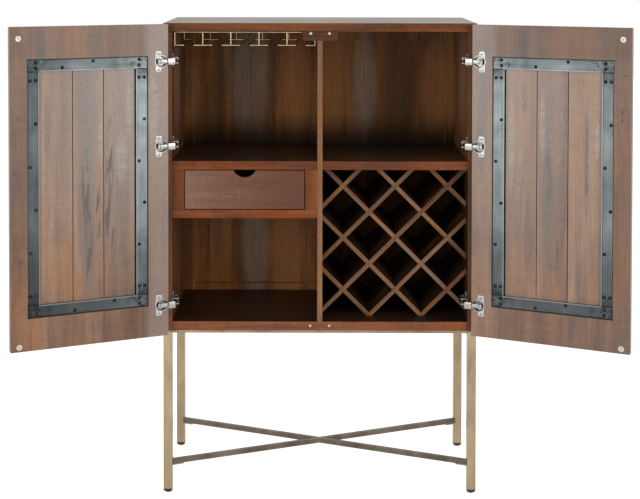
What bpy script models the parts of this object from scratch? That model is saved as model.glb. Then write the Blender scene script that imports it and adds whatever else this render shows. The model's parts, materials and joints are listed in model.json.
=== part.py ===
"""Bar cabinet: a two-door wooden case on a square-tube stand, with its doors standing open.

Each piece is one object. The case is drawn with its front face on the plane y = 0 of an empty,
which puts the middle of the open cabinet over the world's origin. Each door hangs on an empty that
lies on its hinge axis, and is drawn as it lies when it is shut.
"""

import math

import bmesh
import bpy
from mathutils import Matrix, Vector

# Overall sizes in metres, with the floor at z = 0
WIDTH = 0.914
CASE_DEPTH = 0.400
CASE_HEIGHT = 0.898
STAND_HEIGHT = 0.480

# Clearance between pieces that touch, and the softened edges of the boards
GAP = 0.0003
SOFT_EDGE = 0.0010

# Case boards
BOARD = 0.025
DIVIDER = 0.015
SHELF_FROM_TOP = 0.403

# Back: a face frame with one sheet behind it
BACK_FRAME = 0.016
BACK_SHEET = 0.006
BACK_INSET = 0.003
BACK_SIDE_STILE = 0.031
BACK_CENTRE_STILE = 0.062
BACK_TOP_RAIL = 0.045
BACK_BOTTOM_RAIL = 0.021

# Drawer and the wall on each side that guides it
DRAWER_OPENING = 0.117
DRAWER_STILE = 0.036
DRAWER_GUIDE = 0.015
DRAWER_REVEAL = 0.0020
DRAWER_FRONT = 0.020
DRAWER_WALL = 0.012
DRAWER_BOX_HEIGHT = 0.090
DRAWER_BOX_LENGTH = 0.320
DRAWER_BOTTOM = 0.005
DRAWER_BOTTOM_RISE = 0.008
DRAWER_GROOVE = 0.005
NOTCH_WIDTH = 0.065
NOTCH_DEPTH = 0.021

# Diamond wine lattice in the lower right bay
SLAT = 0.012
LATTICE_PITCH = 0.1092
LATTICE_SETBACK = 0.068
LATTICE_RIGHT_OF_CENTRE = 0.004
LATTICE_ABOVE_CENTRE = 0.010
SHORTEST_SLAT = 0.080

# Stemware rack under the top of the left bay
RACK_WIRE = 0.004
RACK_SLOTS = 5
RACK_END_CLEARANCE = 0.00725
RACK_FOOT = 0.059
RACK_DROP = 0.037
RACK_FRONT = 0.018
RACK_BACK = 0.300
RACK_WELD = 0.0015

# Magnet block under the top, in the middle of the front
CATCH_WIDTH = 0.102
CATCH_HEIGHT = 0.026
CATCH_DEPTH = 0.014
CATCH_CORNER = 0.008

# Stand
TUBE = 0.0254
TUBE_WALL = 0.0020
STAND_FRAME = 0.008
LEG_PLUG = 0.006
STRETCHER_BAR = 0.0135
STRETCHER_RISE = 0.084
LUG_LENGTH = 0.033
LUG_THICKNESS = 0.003
FOOT_RADIUS = 0.011
FOOT_HEIGHT = 0.005
FOOT_STEM_RADIUS = 0.004
FOOT_STEM_LENGTH = 0.030
STEM_CLEARANCE = 0.0003

# Doors
DOOR_THICKNESS = 0.022
DOOR_SIDE_REVEAL = 0.001
DOOR_MIDDLE_GAP = 0.002
DOOR_END_REVEAL = 0.002
DOOR_CLOSED_GAP = 0.002
OPEN_ANGLE = math.radians(156)
HINGE_STILE = 0.060
MEETING_STILE = 0.047
DOOR_RAIL = 0.090
RECESS_DEPTH = 0.009
PLANK_THICKNESS = 0.009
PANEL_LIP = 0.008
PLANKS = (0.130, 0.089)
PLANK_GROOVE = 0.002
PLANK_GROOVE_DEPTH = 0.0030

# Riveted iron frame in the recess of each door. The single rivets of the bars are placed by hand,
# from the left end of the recess as it is seen with the door open.
IRON_WIDTH = 0.035
IRON_THICKNESS = 0.003
IRON_RIM = 0.0035
IRON_RIM_HEIGHT = 0.0025
IRON_SEAM = 0.0012
IRON_SEAM_DEPTH = 0.0010
IRON_SETBACK = 0.004
RIVET_RADIUS = 0.0042
RIVET_HEIGHT = 0.0022
RIVET_EDGE = 0.0095
UPRIGHT_RIVETS = 4
BAR_RIVETS = {
    "left": {"bottom": (0.134, 0.248), "top": (0.100, 0.188)},
    "right": {"bottom": (0.127, 0.214), "top": (0.125, 0.217)},
}

# Pull on the outer face of each door
PULL_CENTRES = 0.392
PULL_LENGTH = 0.424
PULL_RADIUS = 0.005
PULL_POST_RADIUS = 0.004
PULL_PROJECTION = 0.032
PULL_FROM_EDGE = 0.027

# Wide-angle concealed hinges, measured from each door's top, bottom and hinge edge
TOP_HINGE_FROM_TOP = 0.107
MIDDLE_HINGE_FROM_TOP = 0.352
BOTTOM_HINGE_FROM_BOTTOM = 0.090
AXIS_FROM_EDGE = 0.0058
AXIS_FROM_FACE = 0.0172
CUP_FROM_EDGE = 0.0215
FLANGE_FROM_EDGE = 0.0295
PIN_FROM_EDGE = 0.028
CUP_RADIUS = 0.0175
CUP_DEPTH = 0.012
CUP_WALL = 0.0012
CUP_RIM = 0.0015
CUP_BORE_CLEARANCE = 0.0003
FLANGE_THICKNESS = 0.0012
FLANGE_WIDTH = 0.019
FLANGE_HEIGHT = 0.060
EAR_THICKNESS = 0.002
EAR_WIDTH = 0.007
PIN_RADIUS = 0.002
PIN_CLEARANCE = 0.0004
LINK_RISE = 0.0046
LINK_HEIGHT = 0.010
LINK_THICKNESS = 0.005
LINK_STRAIGHT = 0.038
LINK_EYE = 0.004
LINK_END_FROM_WALL = 0.011
LINK_END_DEPTH = 0.006
LINK_SIDE_CLEARANCE = 0.0005
ARM_PLATE = 0.0022
ARM_FLANGE = 0.0015
ARM_OFF_WALL = 0.020
ARM_NOSE_OFF_WALL = 0.0105
ARM_FRONT = 0.0025
ARM_NOSE = 0.0065
ARM_BACK = 0.062
ARM_WING_HEIGHT = 0.046
ARM_WING_LENGTH = 0.018
ARM_WING_FROM_FRONT = 0.030

# Heights and places worked out from the sizes above
TOP = STAND_HEIGHT + CASE_HEIGHT
UNDER_TOP = TOP - BOARD
OVER_BOTTOM = STAND_HEIGHT + BOARD
SHELF_TOP = TOP - SHELF_FROM_TOP
SHELF_UNDER = SHELF_TOP - BOARD
DECK_TOP = SHELF_UNDER - DRAWER_OPENING
HALF_WIDTH = WIDTH / 2
INNER = HALF_WIDTH - BOARD
HALF_DIVIDER = DIVIDER / 2
RACK_PITCH = (INNER - HALF_DIVIDER - 2 * RACK_END_CLEARANCE) / RACK_SLOTS
BACK_SHEET_FRONT = CASE_DEPTH - BACK_INSET - BACK_SHEET
BACK_FRAME_FRONT = BACK_SHEET_FRONT - GAP - BACK_FRAME
INSIDE_BACK = BACK_FRAME_FRONT - GAP

DOOR_EDGE = HALF_WIDTH - DOOR_SIDE_REVEAL
DOOR_WIDTH = DOOR_EDGE - DOOR_MIDDLE_GAP / 2
DOOR_TOP = TOP - DOOR_END_REVEAL
DOOR_BOTTOM = STAND_HEIGHT - STAND_FRAME + DOOR_END_REVEAL
AXIS_OUT = DOOR_EDGE - AXIS_FROM_EDGE
AXIS_Y = -DOOR_CLOSED_GAP - AXIS_FROM_FACE
HINGE_HEIGHTS = {
    "top": DOOR_TOP - TOP_HINGE_FROM_TOP,
    "middle": DOOR_TOP - MIDDLE_HINGE_FROM_TOP,
    "bottom": DOOR_BOTTOM + BOTTOM_HINGE_FROM_BOTTOM,
}
SIDES = {"left": -1, "right": 1}

WOOD = ("wood", (0.23, 0.115, 0.065), 0.45, 0.0)
DARK_WOOD = ("dark_wood", (0.085, 0.043, 0.027), 0.5, 0.0)
IRON = ("blackened_iron", (0.10, 0.12, 0.13), 0.5, 0.85)
NICKEL = ("nickel", (0.70, 0.69, 0.66), 0.25, 1.0)
BRASS = ("antique_brass", (0.42, 0.33, 0.21), 0.38, 0.9)
BRIGHT_BRASS = ("bright_brass", (0.80, 0.62, 0.32), 0.3, 1.0)
BLACK_NYLON = ("black_nylon", (0.02, 0.02, 0.02), 0.5, 0.0)


# Scene, collections and materials


def clear_scene():
    for thing in list(bpy.data.objects):
        bpy.data.objects.remove(thing)


def collection(name):
    made = bpy.data.collections.new(name)
    bpy.context.scene.collection.children.link(made)
    return made


def material(look):
    name, colour, roughness, metallic = look
    made = bpy.data.materials.get(name)
    if made:
        return made
    made = bpy.data.materials.new(name)
    made.use_nodes = True
    shader = made.node_tree.nodes["Principled BSDF"]
    shader.inputs["Base Color"].default_value = (*colour, 1)
    shader.inputs["Roughness"].default_value = roughness
    shader.inputs["Metallic"].default_value = metallic
    return made


clear_scene()
PARTS = collection("bar_cabinet")
CUTTERS = collection("bar_cabinet_cutters")


def add(thing, look=None, parent=None):
    """Files an object with the parts if it has a look, or else with the cutters and tools."""
    if look:
        PARTS.objects.link(thing)
        thing.data.materials.append(material(look))
    else:
        CUTTERS.objects.link(thing)
        thing.hide_render = True
        thing.display_type = "WIRE"
    thing.parent = parent
    return thing


def empty(name, location, parent=None, turn=0.0):
    made = bpy.data.objects.new(name, None)
    PARTS.objects.link(made)
    made.location = location
    made.rotation_euler = (0, 0, turn)
    made.parent = parent
    return made


# Solids


def box(name, x, y, z, parent, look=None, soft=0.0):
    """A box between two values on each axis, with softened edges if asked."""
    mesh = bpy.data.meshes.new(name)
    made = bpy.data.objects.new(name, mesh)
    body = bmesh.new()
    bmesh.ops.create_cube(body, size=1)
    sizes = [abs(pair[1] - pair[0]) for pair in (x, y, z)]
    bmesh.ops.scale(body, vec=sizes, verts=body.verts)
    body.to_mesh(mesh)
    body.free()
    made.location = [(pair[0] + pair[1]) / 2 for pair in (x, y, z)]
    if soft:
        bevel = made.modifiers.new("soft_edges", "BEVEL")
        bevel.width = soft
        bevel.segments = 1
    return add(made, look, parent)


def rod(name, start, end, radius, parent, look=None, sides=24, roll=0.0):
    """A round bar between two points."""
    start, end = Vector(start), Vector(end)
    mesh = bpy.data.meshes.new(name)
    body = bmesh.new()
    bmesh.ops.create_cone(
        body, cap_ends=True, segments=sides, radius1=radius, radius2=radius, depth=(end - start).length
    )
    bmesh.ops.rotate(body, cent=(0, 0, 0), matrix=Matrix.Rotation(roll, 3, "Z"), verts=body.verts)
    body.to_mesh(mesh)
    body.free()
    mesh.shade_smooth()
    mesh.set_sharp_from_angle(angle=math.radians(40))
    made = bpy.data.objects.new(name, mesh)
    made.location = (start + end) / 2
    made.rotation_euler = (end - start).to_track_quat("Z", "Y").to_euler()
    return add(made, look, parent)


def turned(name, profile, parent, look=None, location=(0, 0, 0), rotation=(0, 0, 0), steps=24):
    """A solid turned about its own z axis from (radius, height) points that run down the outer side."""
    mesh = bpy.data.meshes.new(name)
    points = [(radius, 0, height) for radius, height in profile]
    mesh.from_pydata(points, [(n, n + 1) for n in range(len(points) - 1)], [])
    made = bpy.data.objects.new(name, mesh)
    made.location = location
    made.rotation_euler = rotation
    screw = made.modifiers.new("turn", "SCREW")
    screw.steps = screw.render_steps = steps
    screw.use_merge_vertices = True
    screw.merge_threshold = 0.00001
    screw.use_smooth_shade = False
    return add(made, look, parent)


def prism(name, outlines, thickness, parent, look=None, location=(0, 0, 0), rotation=(0, 0, 0)):
    """A flat outline, with any holes after it, given a thickness about its own plane."""
    curve = bpy.data.curves.new(name, "CURVE")
    curve.dimensions = "2D"
    curve.fill_mode = "BOTH"
    curve.extrude = thickness / 2
    for points in outlines:
        spline = curve.splines.new("POLY")
        spline.points.add(len(points) - 1)
        for point, (across, up) in zip(spline.points, points):
            point.co = (across, up, 0, 1)
        spline.use_cyclic_u = True
    drawn = bpy.data.objects.new(name + "_outline", curve)
    bpy.context.scene.collection.objects.link(drawn)
    seen = drawn.evaluated_get(bpy.context.evaluated_depsgraph_get())
    mesh = bpy.data.meshes.new_from_object(seen)
    bpy.data.objects.remove(drawn)
    bpy.data.curves.remove(curve)
    body = bmesh.new()
    body.from_mesh(mesh)
    bmesh.ops.remove_doubles(body, verts=body.verts, dist=0.00001)
    bmesh.ops.recalc_face_normals(body, faces=body.faces)
    body.to_mesh(mesh)
    body.free()
    made = bpy.data.objects.new(name, mesh)
    made.location = location
    made.rotation_euler = rotation
    return add(made, look, parent)


def combine(target, tool, operation):
    step = target.modifiers.new(tool.name, "BOOLEAN")
    step.operation = operation
    step.object = tool
    step.solver = "EXACT"
    return target


def cut(target, tool):
    return combine(target, tool, "DIFFERENCE")


def join(target, tool):
    return combine(target, tool, "UNION")


def arc(centre, radius, start, end, steps):
    """Points on an arc between two angles in degrees."""
    angles = [math.radians(start + (end - start) * n / steps) for n in range(steps + 1)]
    return [(centre[0] + radius * math.cos(a), centre[1] + radius * math.sin(a)) for a in angles]


def rounded_rectangle(across, up, radius, steps=4):
    """Corner points of a rectangle between two values each way, with rounded corners."""
    (left, right), (low, high) = sorted(across), sorted(up)
    centres = [
        ((right - radius, low + radius), -90),
        ((right - radius, high - radius), 0),
        ((left + radius, high - radius), 90),
        ((left + radius, low + radius), 180),
    ]
    points = []
    for centre, start in centres:
        points += arc(centre, radius, start, start + 90, steps)
    return points


UPRIGHT = (math.radians(90), 0, 0)
SIDEWAYS = (math.radians(90), 0, math.radians(90))


# Door geometry seen from above: (distance from the middle of the cabinet, depth from the front)


def swing(point, angle):
    """Where a point of a shut door lies once the door has opened by an angle."""
    c, s = math.cos(angle), math.sin(angle)
    out, back = point[0] - AXIS_OUT, point[1] - AXIS_Y
    return AXIS_OUT + c * out - s * back, AXIS_Y + s * out + c * back


def door_reach():
    """How far the open doors stand out in front of the case."""
    inner_corner = swing((DOOR_EDGE - DOOR_WIDTH, -DOOR_CLOSED_GAP), OPEN_ANGLE)
    outer_corner = swing((DOOR_EDGE - DOOR_WIDTH, -DOOR_CLOSED_GAP - DOOR_THICKNESS), OPEN_ANGLE)
    return -min(inner_corner[1], outer_corner[1])


CABINET = empty("cabinet_place", (0, (door_reach() - CASE_DEPTH) / 2, 0))


# Case


def make_case():
    wide = (-INNER + GAP, INNER - GAP)
    box("top_panel", (-HALF_WIDTH, HALF_WIDTH), (0, CASE_DEPTH), (UNDER_TOP, TOP), CABINET, WOOD, SOFT_EDGE)
    box("bottom_panel", wide, (0, CASE_DEPTH), (STAND_HEIGHT, OVER_BOTTOM), CABINET, WOOD, SOFT_EDGE)
    for side, sign in SIDES.items():
        across = (sign * INNER, sign * HALF_WIDTH)
        up = (STAND_HEIGHT, UNDER_TOP - GAP)
        box(side + "_side", across, (0, CASE_DEPTH), up, CABINET, WOOD, SOFT_EDGE)
        across = (sign * (HALF_DIVIDER + GAP), sign * (INNER - GAP))
        box(side + "_shelf", across, (0, INSIDE_BACK), (SHELF_UNDER, SHELF_TOP), CABINET, WOOD, SOFT_EDGE)
    make_divider()
    make_catch_block()
    make_back()


def make_divider():
    up = (OVER_BOTTOM + GAP, UNDER_TOP - GAP)
    divider = box(
        "centre_divider", (-HALF_DIVIDER, HALF_DIVIDER), (0, INSIDE_BACK), up, CABINET, WOOD, SOFT_EDGE / 2
    )
    notch_low = UNDER_TOP - CATCH_HEIGHT - 2 * GAP
    notch = box("catch_notch", (-DIVIDER, DIVIDER), (-BOARD, CATCH_DEPTH + GAP), (notch_low, TOP), CABINET)
    cut(divider, notch)


def make_catch_block():
    half = CATCH_WIDTH / 2
    top = UNDER_TOP - GAP
    low = top - CATCH_HEIGHT
    outline = [(half, top), (-half, top)]
    outline += arc((-half + CATCH_CORNER, low + CATCH_CORNER), CATCH_CORNER, 180, 270, 4)
    outline += arc((half - CATCH_CORNER, low + CATCH_CORNER), CATCH_CORNER, -90, 0, 4)
    prism("catch_block", [outline], CATCH_DEPTH, CABINET, WOOD, (0, CATCH_DEPTH / 2, 0), UPRIGHT)


def make_back():
    wide = (-INNER + GAP, INNER - GAP)
    tall = (OVER_BOTTOM + GAP, UNDER_TOP - GAP)
    frame_back = BACK_FRAME_FRONT + BACK_FRAME
    frame = box("back_frame", wide, (BACK_FRAME_FRONT, frame_back), tall, CABINET, DARK_WOOD)
    for side, sign in SIDES.items():
        across = (sign * BACK_CENTRE_STILE / 2, sign * (INNER - BACK_SIDE_STILE))
        up = (OVER_BOTTOM + BACK_BOTTOM_RAIL, UNDER_TOP - BACK_TOP_RAIL)
        cut(frame, box(side + "_back_light", across, (0, 2 * CASE_DEPTH), up, CABINET))
    sheet = (BACK_SHEET_FRONT, BACK_SHEET_FRONT + BACK_SHEET)
    box("back_sheet", wide, sheet, tall, CABINET, DARK_WOOD)


# Drawer bay and drawer


def make_drawer_bay():
    across = (-INNER + GAP, -HALF_DIVIDER - GAP)
    up = (DECK_TOP - BOARD, DECK_TOP)
    box("drawer_deck", across, (0, INSIDE_BACK), up, CABINET, WOOD, SOFT_EDGE)
    middle = (DECK_TOP + SHELF_UNDER) / 2
    for side, edge, sign in (("left", -INNER + GAP, 1), ("right", -HALF_DIVIDER - GAP, -1)):
        inner_edge = edge + sign * (DRAWER_STILE - GAP)
        guide_edge = inner_edge - sign * DRAWER_GUIDE
        outline = [
            (edge, 0),
            (inner_edge, 0),
            (inner_edge, INSIDE_BACK),
            (guide_edge, INSIDE_BACK),
            (guide_edge, DRAWER_FRONT),
            (edge, DRAWER_FRONT),
        ]
        height = DRAWER_OPENING - 2 * GAP
        prism(side + "_drawer_guide", [outline], height, CABINET, WOOD, (0, 0, middle))


def make_drawer():
    left = -INNER + DRAWER_STILE + DRAWER_REVEAL
    right = -HALF_DIVIDER - DRAWER_STILE - DRAWER_REVEAL
    middle = (left + right) / 2
    low, high = DECK_TOP + DRAWER_REVEAL, SHELF_UNDER - DRAWER_REVEAL
    front = box("drawer_front", (left, right), (0, DRAWER_FRONT), (low, high), CABINET, WOOD, SOFT_EDGE)
    notch_radius = NOTCH_WIDTH**2 / (8 * NOTCH_DEPTH) + NOTCH_DEPTH / 2
    notch_z = high - NOTCH_DEPTH + notch_radius
    start, end = (middle, -BOARD, notch_z), (middle, DRAWER_FRONT + BOARD, notch_z)
    cut(front, rod("drawer_notch", start, end, notch_radius, CABINET, sides=64))
    box_front = DRAWER_FRONT + GAP
    deep = (box_front, box_front + DRAWER_BOX_LENGTH)
    floor = DECK_TOP + GAP
    walls = box("drawer_box", (left, right), deep, (floor, floor + DRAWER_BOX_HEIGHT), CABINET, DARK_WOOD)
    inside = (left + DRAWER_WALL, right - DRAWER_WALL)
    inside_deep = (deep[0] + DRAWER_WALL, deep[1] - DRAWER_WALL)
    tall = (DECK_TOP - BOARD, SHELF_TOP)
    cut(walls, box("drawer_hollow", inside, inside_deep, tall, CABINET))
    sheet_low = floor + DRAWER_BOTTOM_RISE
    groove_x = (inside[0] - DRAWER_GROOVE, inside[1] + DRAWER_GROOVE)
    groove_y = (inside_deep[0] - DRAWER_GROOVE, inside_deep[1] + DRAWER_GROOVE)
    groove_z = (sheet_low, sheet_low + DRAWER_BOTTOM)
    cut(walls, box("drawer_groove", groove_x, groove_y, groove_z, CABINET))
    sheet = [(low + GAP, high - GAP) for low, high in (groove_x, groove_y, groove_z)]
    box("drawer_bottom", *sheet, CABINET, DARK_WOOD)


# Wine lattice


def make_lattice():
    """Slats half-lapped where they cross: one set is slotted from the front, the other from the back."""
    left, right = HALF_DIVIDER + GAP, INNER - GAP
    low, high = OVER_BOTTOM + GAP, SHELF_UNDER - GAP
    front, back = LATTICE_SETBACK, INSIDE_BACK
    centre_x = (left + right) / 2 + LATTICE_RIGHT_OF_CENTRE
    centre_z = (low + high) / 2 + LATTICE_ABOVE_CENTRE
    bay = box("lattice_bay", (left, right), (0, CASE_DEPTH), (low, high), CABINET)
    reach = math.hypot(right - left, high - low)
    count = math.ceil(reach / LATTICE_PITCH)
    corners = [(x - centre_x, z - centre_z) for x in (left, right) for z in (low, high)]

    def places(slope):
        """Numbers of the slats of one slope that are long enough between the walls."""
        found = []
        for number in range(-count, count + 1):
            along = [(x * slope + z) / math.sqrt(2) for x, z in corners]
            room = min(max(along) - number * LATTICE_PITCH, number * LATTICE_PITCH - min(along))
            if 2 * room > SHORTEST_SLAT:
                found.append(number)
        return found

    falling, rising = places(1), places(-1)
    middle = (front + back) / 2
    slots = {1: (0, middle + GAP / 2), -1: (middle - GAP / 2, CASE_DEPTH)}
    for slope, own, others in ((1, falling, rising), (-1, rising, falling)):
        for order, number in enumerate(own, 1):
            name = f"lattice_{'falling' if slope > 0 else 'rising'}_{order}"
            offset = number * LATTICE_PITCH / math.sqrt(2)
            location = (centre_x + slope * offset, 0, centre_z + offset)
            line = empty(name + "_line", location, CABINET)
            line.rotation_euler = (0, slope * math.radians(45), 0)
            slat = box(name, (-reach, reach), (front, back), (-SLAT / 2, SLAT / 2), line, WOOD)
            for crossing in others:
                place = -slope * crossing * LATTICE_PITCH
                width = (place - SLAT / 2 - GAP, place + SLAT / 2 + GAP)
                cut(slat, box(f"{name}_slot_{crossing}", width, slots[slope], (-SLAT, SLAT), line))
            combine(slat, bay, "INTERSECT")


# Stemware rack


def make_rack():
    """Welded wire: hangers in front and behind, with a pair of rails between each two slots."""
    radius = RACK_WIRE / 2
    bay_middle = (-INNER - HALF_DIVIDER) / 2
    top = UNDER_TOP - GAP - radius
    foot = top - RACK_DROP
    lap = RACK_WIRE - RACK_WELD
    half_run = RACK_SLOTS * RACK_PITCH / 2
    hangers = [bay_middle - half_run + n * RACK_PITCH for n in range(RACK_SLOTS + 1)]
    rows = (RACK_FRONT, RACK_BACK)
    end = radius + RACK_WELD
    across = (hangers[0] - end, hangers[-1] + end)
    deep = (rows[0] - end, rows[1] + end)
    wires = [((across[0], y, top), (across[1], y, top)) for y in rows]
    wires += [((x, deep[0], top - lap), (x, deep[1], top - lap)) for x in (hangers[0], hangers[-1])]
    for order, x in enumerate(hangers):
        left = x - (RACK_FOOT / 2 if order > 0 else end)
        right = x + (RACK_FOOT / 2 if order < RACK_SLOTS else end)
        wires += [((x, y, top), (x, y, foot)) for y in rows]
        wires += [((left, y, foot), (right, y, foot)) for y in rows]
        rails = [left + radius] * (order > 0) + [right - radius] * (order < RACK_SLOTS)
        wires += [((rail, deep[0], foot - lap), (rail, deep[1], foot - lap)) for rail in rails]
    rack = rod("stemware_rack", *wires[0], radius, CABINET, BRIGHT_BRASS, sides=8)
    for order, (start, end) in enumerate(wires[1:]):
        roll = math.radians(22.5) if start[2] != end[2] else 0.0
        join(rack, rod(f"rack_wire_{order}", start, end, radius, CABINET, sides=8, roll=roll))


# Stand


def make_stand():
    """Four tube legs with a plug in each foot end, welded under the corners of a ring of flat bar."""
    under = STAND_HEIGHT - STAND_FRAME
    leg_low = FOOT_HEIGHT + GAP
    outside = (-HALF_WIDTH, HALF_WIDTH), (0, CASE_DEPTH)
    frame = box("stand_frame", *outside, (leg_low, STAND_HEIGHT - GAP), CABINET, BRASS)
    between_x, between_y = (TUBE - HALF_WIDTH, HALF_WIDTH - TUBE), (TUBE, CASE_DEPTH - TUBE)
    through_x, through_y = (-WIDTH, WIDTH), (-CASE_DEPTH, 2 * CASE_DEPTH)
    cut(frame, box("ring_hole", between_x, between_y, (-BOARD, TOP), CABINET))
    cut(frame, box("between_side_legs", through_x, between_y, (-BOARD, under), CABINET))
    cut(frame, box("between_front_legs", between_x, through_y, (-BOARD, under), CABINET))
    legs = [
        (f"{row}_{side}", sign * (HALF_WIDTH - TUBE / 2), y)
        for row, y in (("front", TUBE / 2), ("back", CASE_DEPTH - TUBE / 2))
        for side, sign in SIDES.items()
    ]
    bore = TUBE / 2 - TUBE_WALL
    thread = FOOT_STEM_RADIUS + STEM_CLEARANCE
    hollow = (leg_low + LEG_PLUG, under - TUBE_WALL)
    for name, x, y in legs:
        cut(frame, box(name + "_leg_bore", (x - bore, x + bore), (y - bore, y + bore), hollow, CABINET))
        ends = (x, y, 0), (x, y, hollow[0] + BOARD)
        cut(frame, rod(name + "_thread", *ends, thread, CABINET, sides=12))
        make_foot(name, x, y)
    make_stretcher(frame, legs)


def make_foot(name, x, y):
    """A levelling glide, screwed all the way up into the plug of its leg."""
    chamfer = FOOT_HEIGHT / 3
    top = FOOT_HEIGHT + FOOT_STEM_LENGTH
    profile = [
        (0, top),
        (FOOT_STEM_RADIUS, top),
        (FOOT_STEM_RADIUS, FOOT_HEIGHT),
        (FOOT_RADIUS, FOOT_HEIGHT),
        (FOOT_RADIUS, chamfer),
        (FOOT_RADIUS - chamfer, 0),
        (0, 0),
    ]
    turned(name + "_foot", profile, CABINET, BLACK_NYLON, (x, y, 0))


def make_stretcher(frame, legs):
    """Two bars crossing level above the floor, coped to the legs' inner corners and set on lugs."""
    middle_y = CASE_DEPTH / 2
    half_x, half_y = HALF_WIDTH - TUBE, middle_y - TUBE
    angle = math.atan2(half_y, half_x)
    half = STRETCHER_BAR / 2
    reach = math.hypot(half_x, half_y) + half * math.tan(angle)
    up = (STRETCHER_RISE - half, STRETCHER_RISE + half)
    bars = []
    for turn in (angle, -angle):
        place = empty("stretcher_place", (0, middle_y, 0), CABINET, turn)
        name = "stretcher" if not bars else "stretcher_cross_bar"
        bars.append(box(name, (-reach, reach), (-half, half), up, place, None if bars else BRASS))
    join(*bars)
    room = TUBE / 2 + GAP
    for name, x, y in legs:
        cope = box(name + "_cope", (x - room, x + room), (y - room, y + room), (0, STAND_HEIGHT), CABINET)
        cut(bars[0], cope)
    lug_top = up[0] - GAP
    lug_z = (lug_top - LUG_THICKNESS, lug_top)
    for number, turn in enumerate((angle, math.pi - angle, math.pi + angle, -angle)):
        place = empty(f"lug_place_{number}", (0, middle_y, 0), CABINET, turn)
        along = (reach - LUG_LENGTH, reach + TUBE_WALL)
        join(frame, box(f"lug_{number}", along, (-half, half), lug_z, place))


# Doors


def make_door(side, sign):
    axis = empty(side + "_door_axis", (sign * AXIS_OUT, AXIS_Y, 0), CABINET, sign * OPEN_ANGLE)
    edge = DOOR_EDGE - AXIS_OUT
    face = -DOOR_CLOSED_GAP - AXIS_Y

    def across(start, end):
        """Distances in from the hinge edge, as x values of the door's own frame."""
        return sign * (edge - start), sign * (edge - end)

    def deep(start, end):
        """Depths below the inner face, as y values of the door's own frame."""
        return face - start, face - end

    tall = (DOOR_BOTTOM, DOOR_TOP)
    frame = box(
        side + "_door_frame", across(0, DOOR_WIDTH), deep(0, DOOR_THICKNESS), tall, axis, WOOD, SOFT_EDGE
    )
    opening = (HINGE_STILE, DOOR_WIDTH - MEETING_STILE)
    opening_z = (DOOR_BOTTOM + DOOR_RAIL, DOOR_TOP - DOOR_RAIL)
    rebate = RECESS_DEPTH + PLANK_THICKNESS + GAP
    cut(frame, box(side + "_rebate", across(*opening), deep(-BOARD, rebate), opening_z, axis))
    lit = (opening[0] + PANEL_LIP, opening[1] - PANEL_LIP)
    lit_z = (opening_z[0] + PANEL_LIP, opening_z[1] - PANEL_LIP)
    cut(frame, box(side + "_light", across(*lit), deep(-BOARD, 2 * DOOR_THICKNESS), lit_z, axis))
    make_panel(side, axis, across, deep, opening, opening_z)
    make_iron_frame(side, axis, across, deep, opening, opening_z)
    make_pull(side, axis, across, deep)
    for name, z in HINGE_HEIGHTS.items():
        make_hinge(side, sign, name, z, axis, frame)


def make_panel(side, axis, across, deep, opening, opening_z):
    """Three planks from the meeting edge, with a groove between each two on both faces."""
    wide = (opening[0] + GAP, opening[1] - GAP)
    tall = (opening_z[0] + GAP, opening_z[1] - GAP)
    low, high = RECESS_DEPTH, RECESS_DEPTH + PLANK_THICKNESS
    panel = box(side + "_door_planks", across(*wide), deep(low, high), tall, axis, WOOD)
    depths = {
        "inner": (0, low + PLANK_GROOVE_DEPTH),
        "outer": (high - PLANK_GROOVE_DEPTH, 2 * DOOR_THICKNESS),
    }
    seam = opening[1]
    for number, width in enumerate(PLANKS):
        seam -= width
        groove = (seam - PLANK_GROOVE / 2, seam + PLANK_GROOVE / 2)
        through = (0, TOP + BOARD)
        for face, depth in depths.items():
            name = f"{side}_{face}_groove_{number}"
            cut(panel, box(name, across(*groove), deep(*depth), through, axis))


def make_iron_frame(side, axis, across, deep, opening, opening_z):
    """Full-width bars with uprights between them, all with a rim along the inner edge.

    The upright by the meeting stile stands a little in from it, which leaves a dark line there.
    """
    wide = (opening[0] + GAP, opening[1] - GAP)
    tall = (opening_z[0] + GAP, opening_z[1] - GAP)
    back = RECESS_DEPTH - GAP
    front = back - IRON_THICKNESS
    iron = box(side + "_iron_frame", across(*wide), deep(front, back), tall, axis, IRON)
    rim_wide = (wide[0] + IRON_WIDTH - IRON_RIM, wide[1] - IRON_WIDTH + IRON_RIM)
    rim_tall = (tall[0] + IRON_WIDTH - IRON_RIM, tall[1] - IRON_WIDTH + IRON_RIM)
    rim_front = front - IRON_RIM_HEIGHT
    rim_deep = deep(rim_front, (front + back) / 2)
    join(iron, box(side + "_iron_rim", across(*rim_wide), rim_deep, rim_tall, axis))
    window = (wide[0] + IRON_WIDTH, wide[1] - IRON_WIDTH)
    window_z = (tall[0] + IRON_WIDTH, tall[1] - IRON_WIDTH)
    cut(iron, box(side + "_iron_window", across(*window), deep(-BOARD, 2 * back), window_z, axis))
    half = IRON_SEAM / 2
    for number, seam in enumerate(window_z):
        for edge, reach in enumerate((wide, tuple(reversed(wide)))):
            outward = -1 if edge == 0 else 1
            run = (reach[0] + outward * BOARD, reach[0] - outward * (IRON_WIDTH + half))
            groove = box(
                f"{side}_iron_seam_{number}_{edge}",
                across(*run),
                deep(-BOARD, front + IRON_SEAM_DEPTH),
                (seam - half, seam + half),
                axis,
            )
            cut(iron, groove)
    gap_z = (window_z[0] + half, window_z[1] - half)
    setback = across(wide[1] - IRON_SETBACK, wide[1] + BOARD)
    cut(iron, box(side + "_iron_setback", setback, deep(-BOARD, 2 * back), gap_z, axis))
    for number, (place, z) in enumerate(rivet_places(side, wide, tall)):
        x = across(place, place)[0]
        y = deep(front, 0)[0]
        join(iron, rivet(f"{side}_rivet_{number}", (x, y, z), axis))


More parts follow.
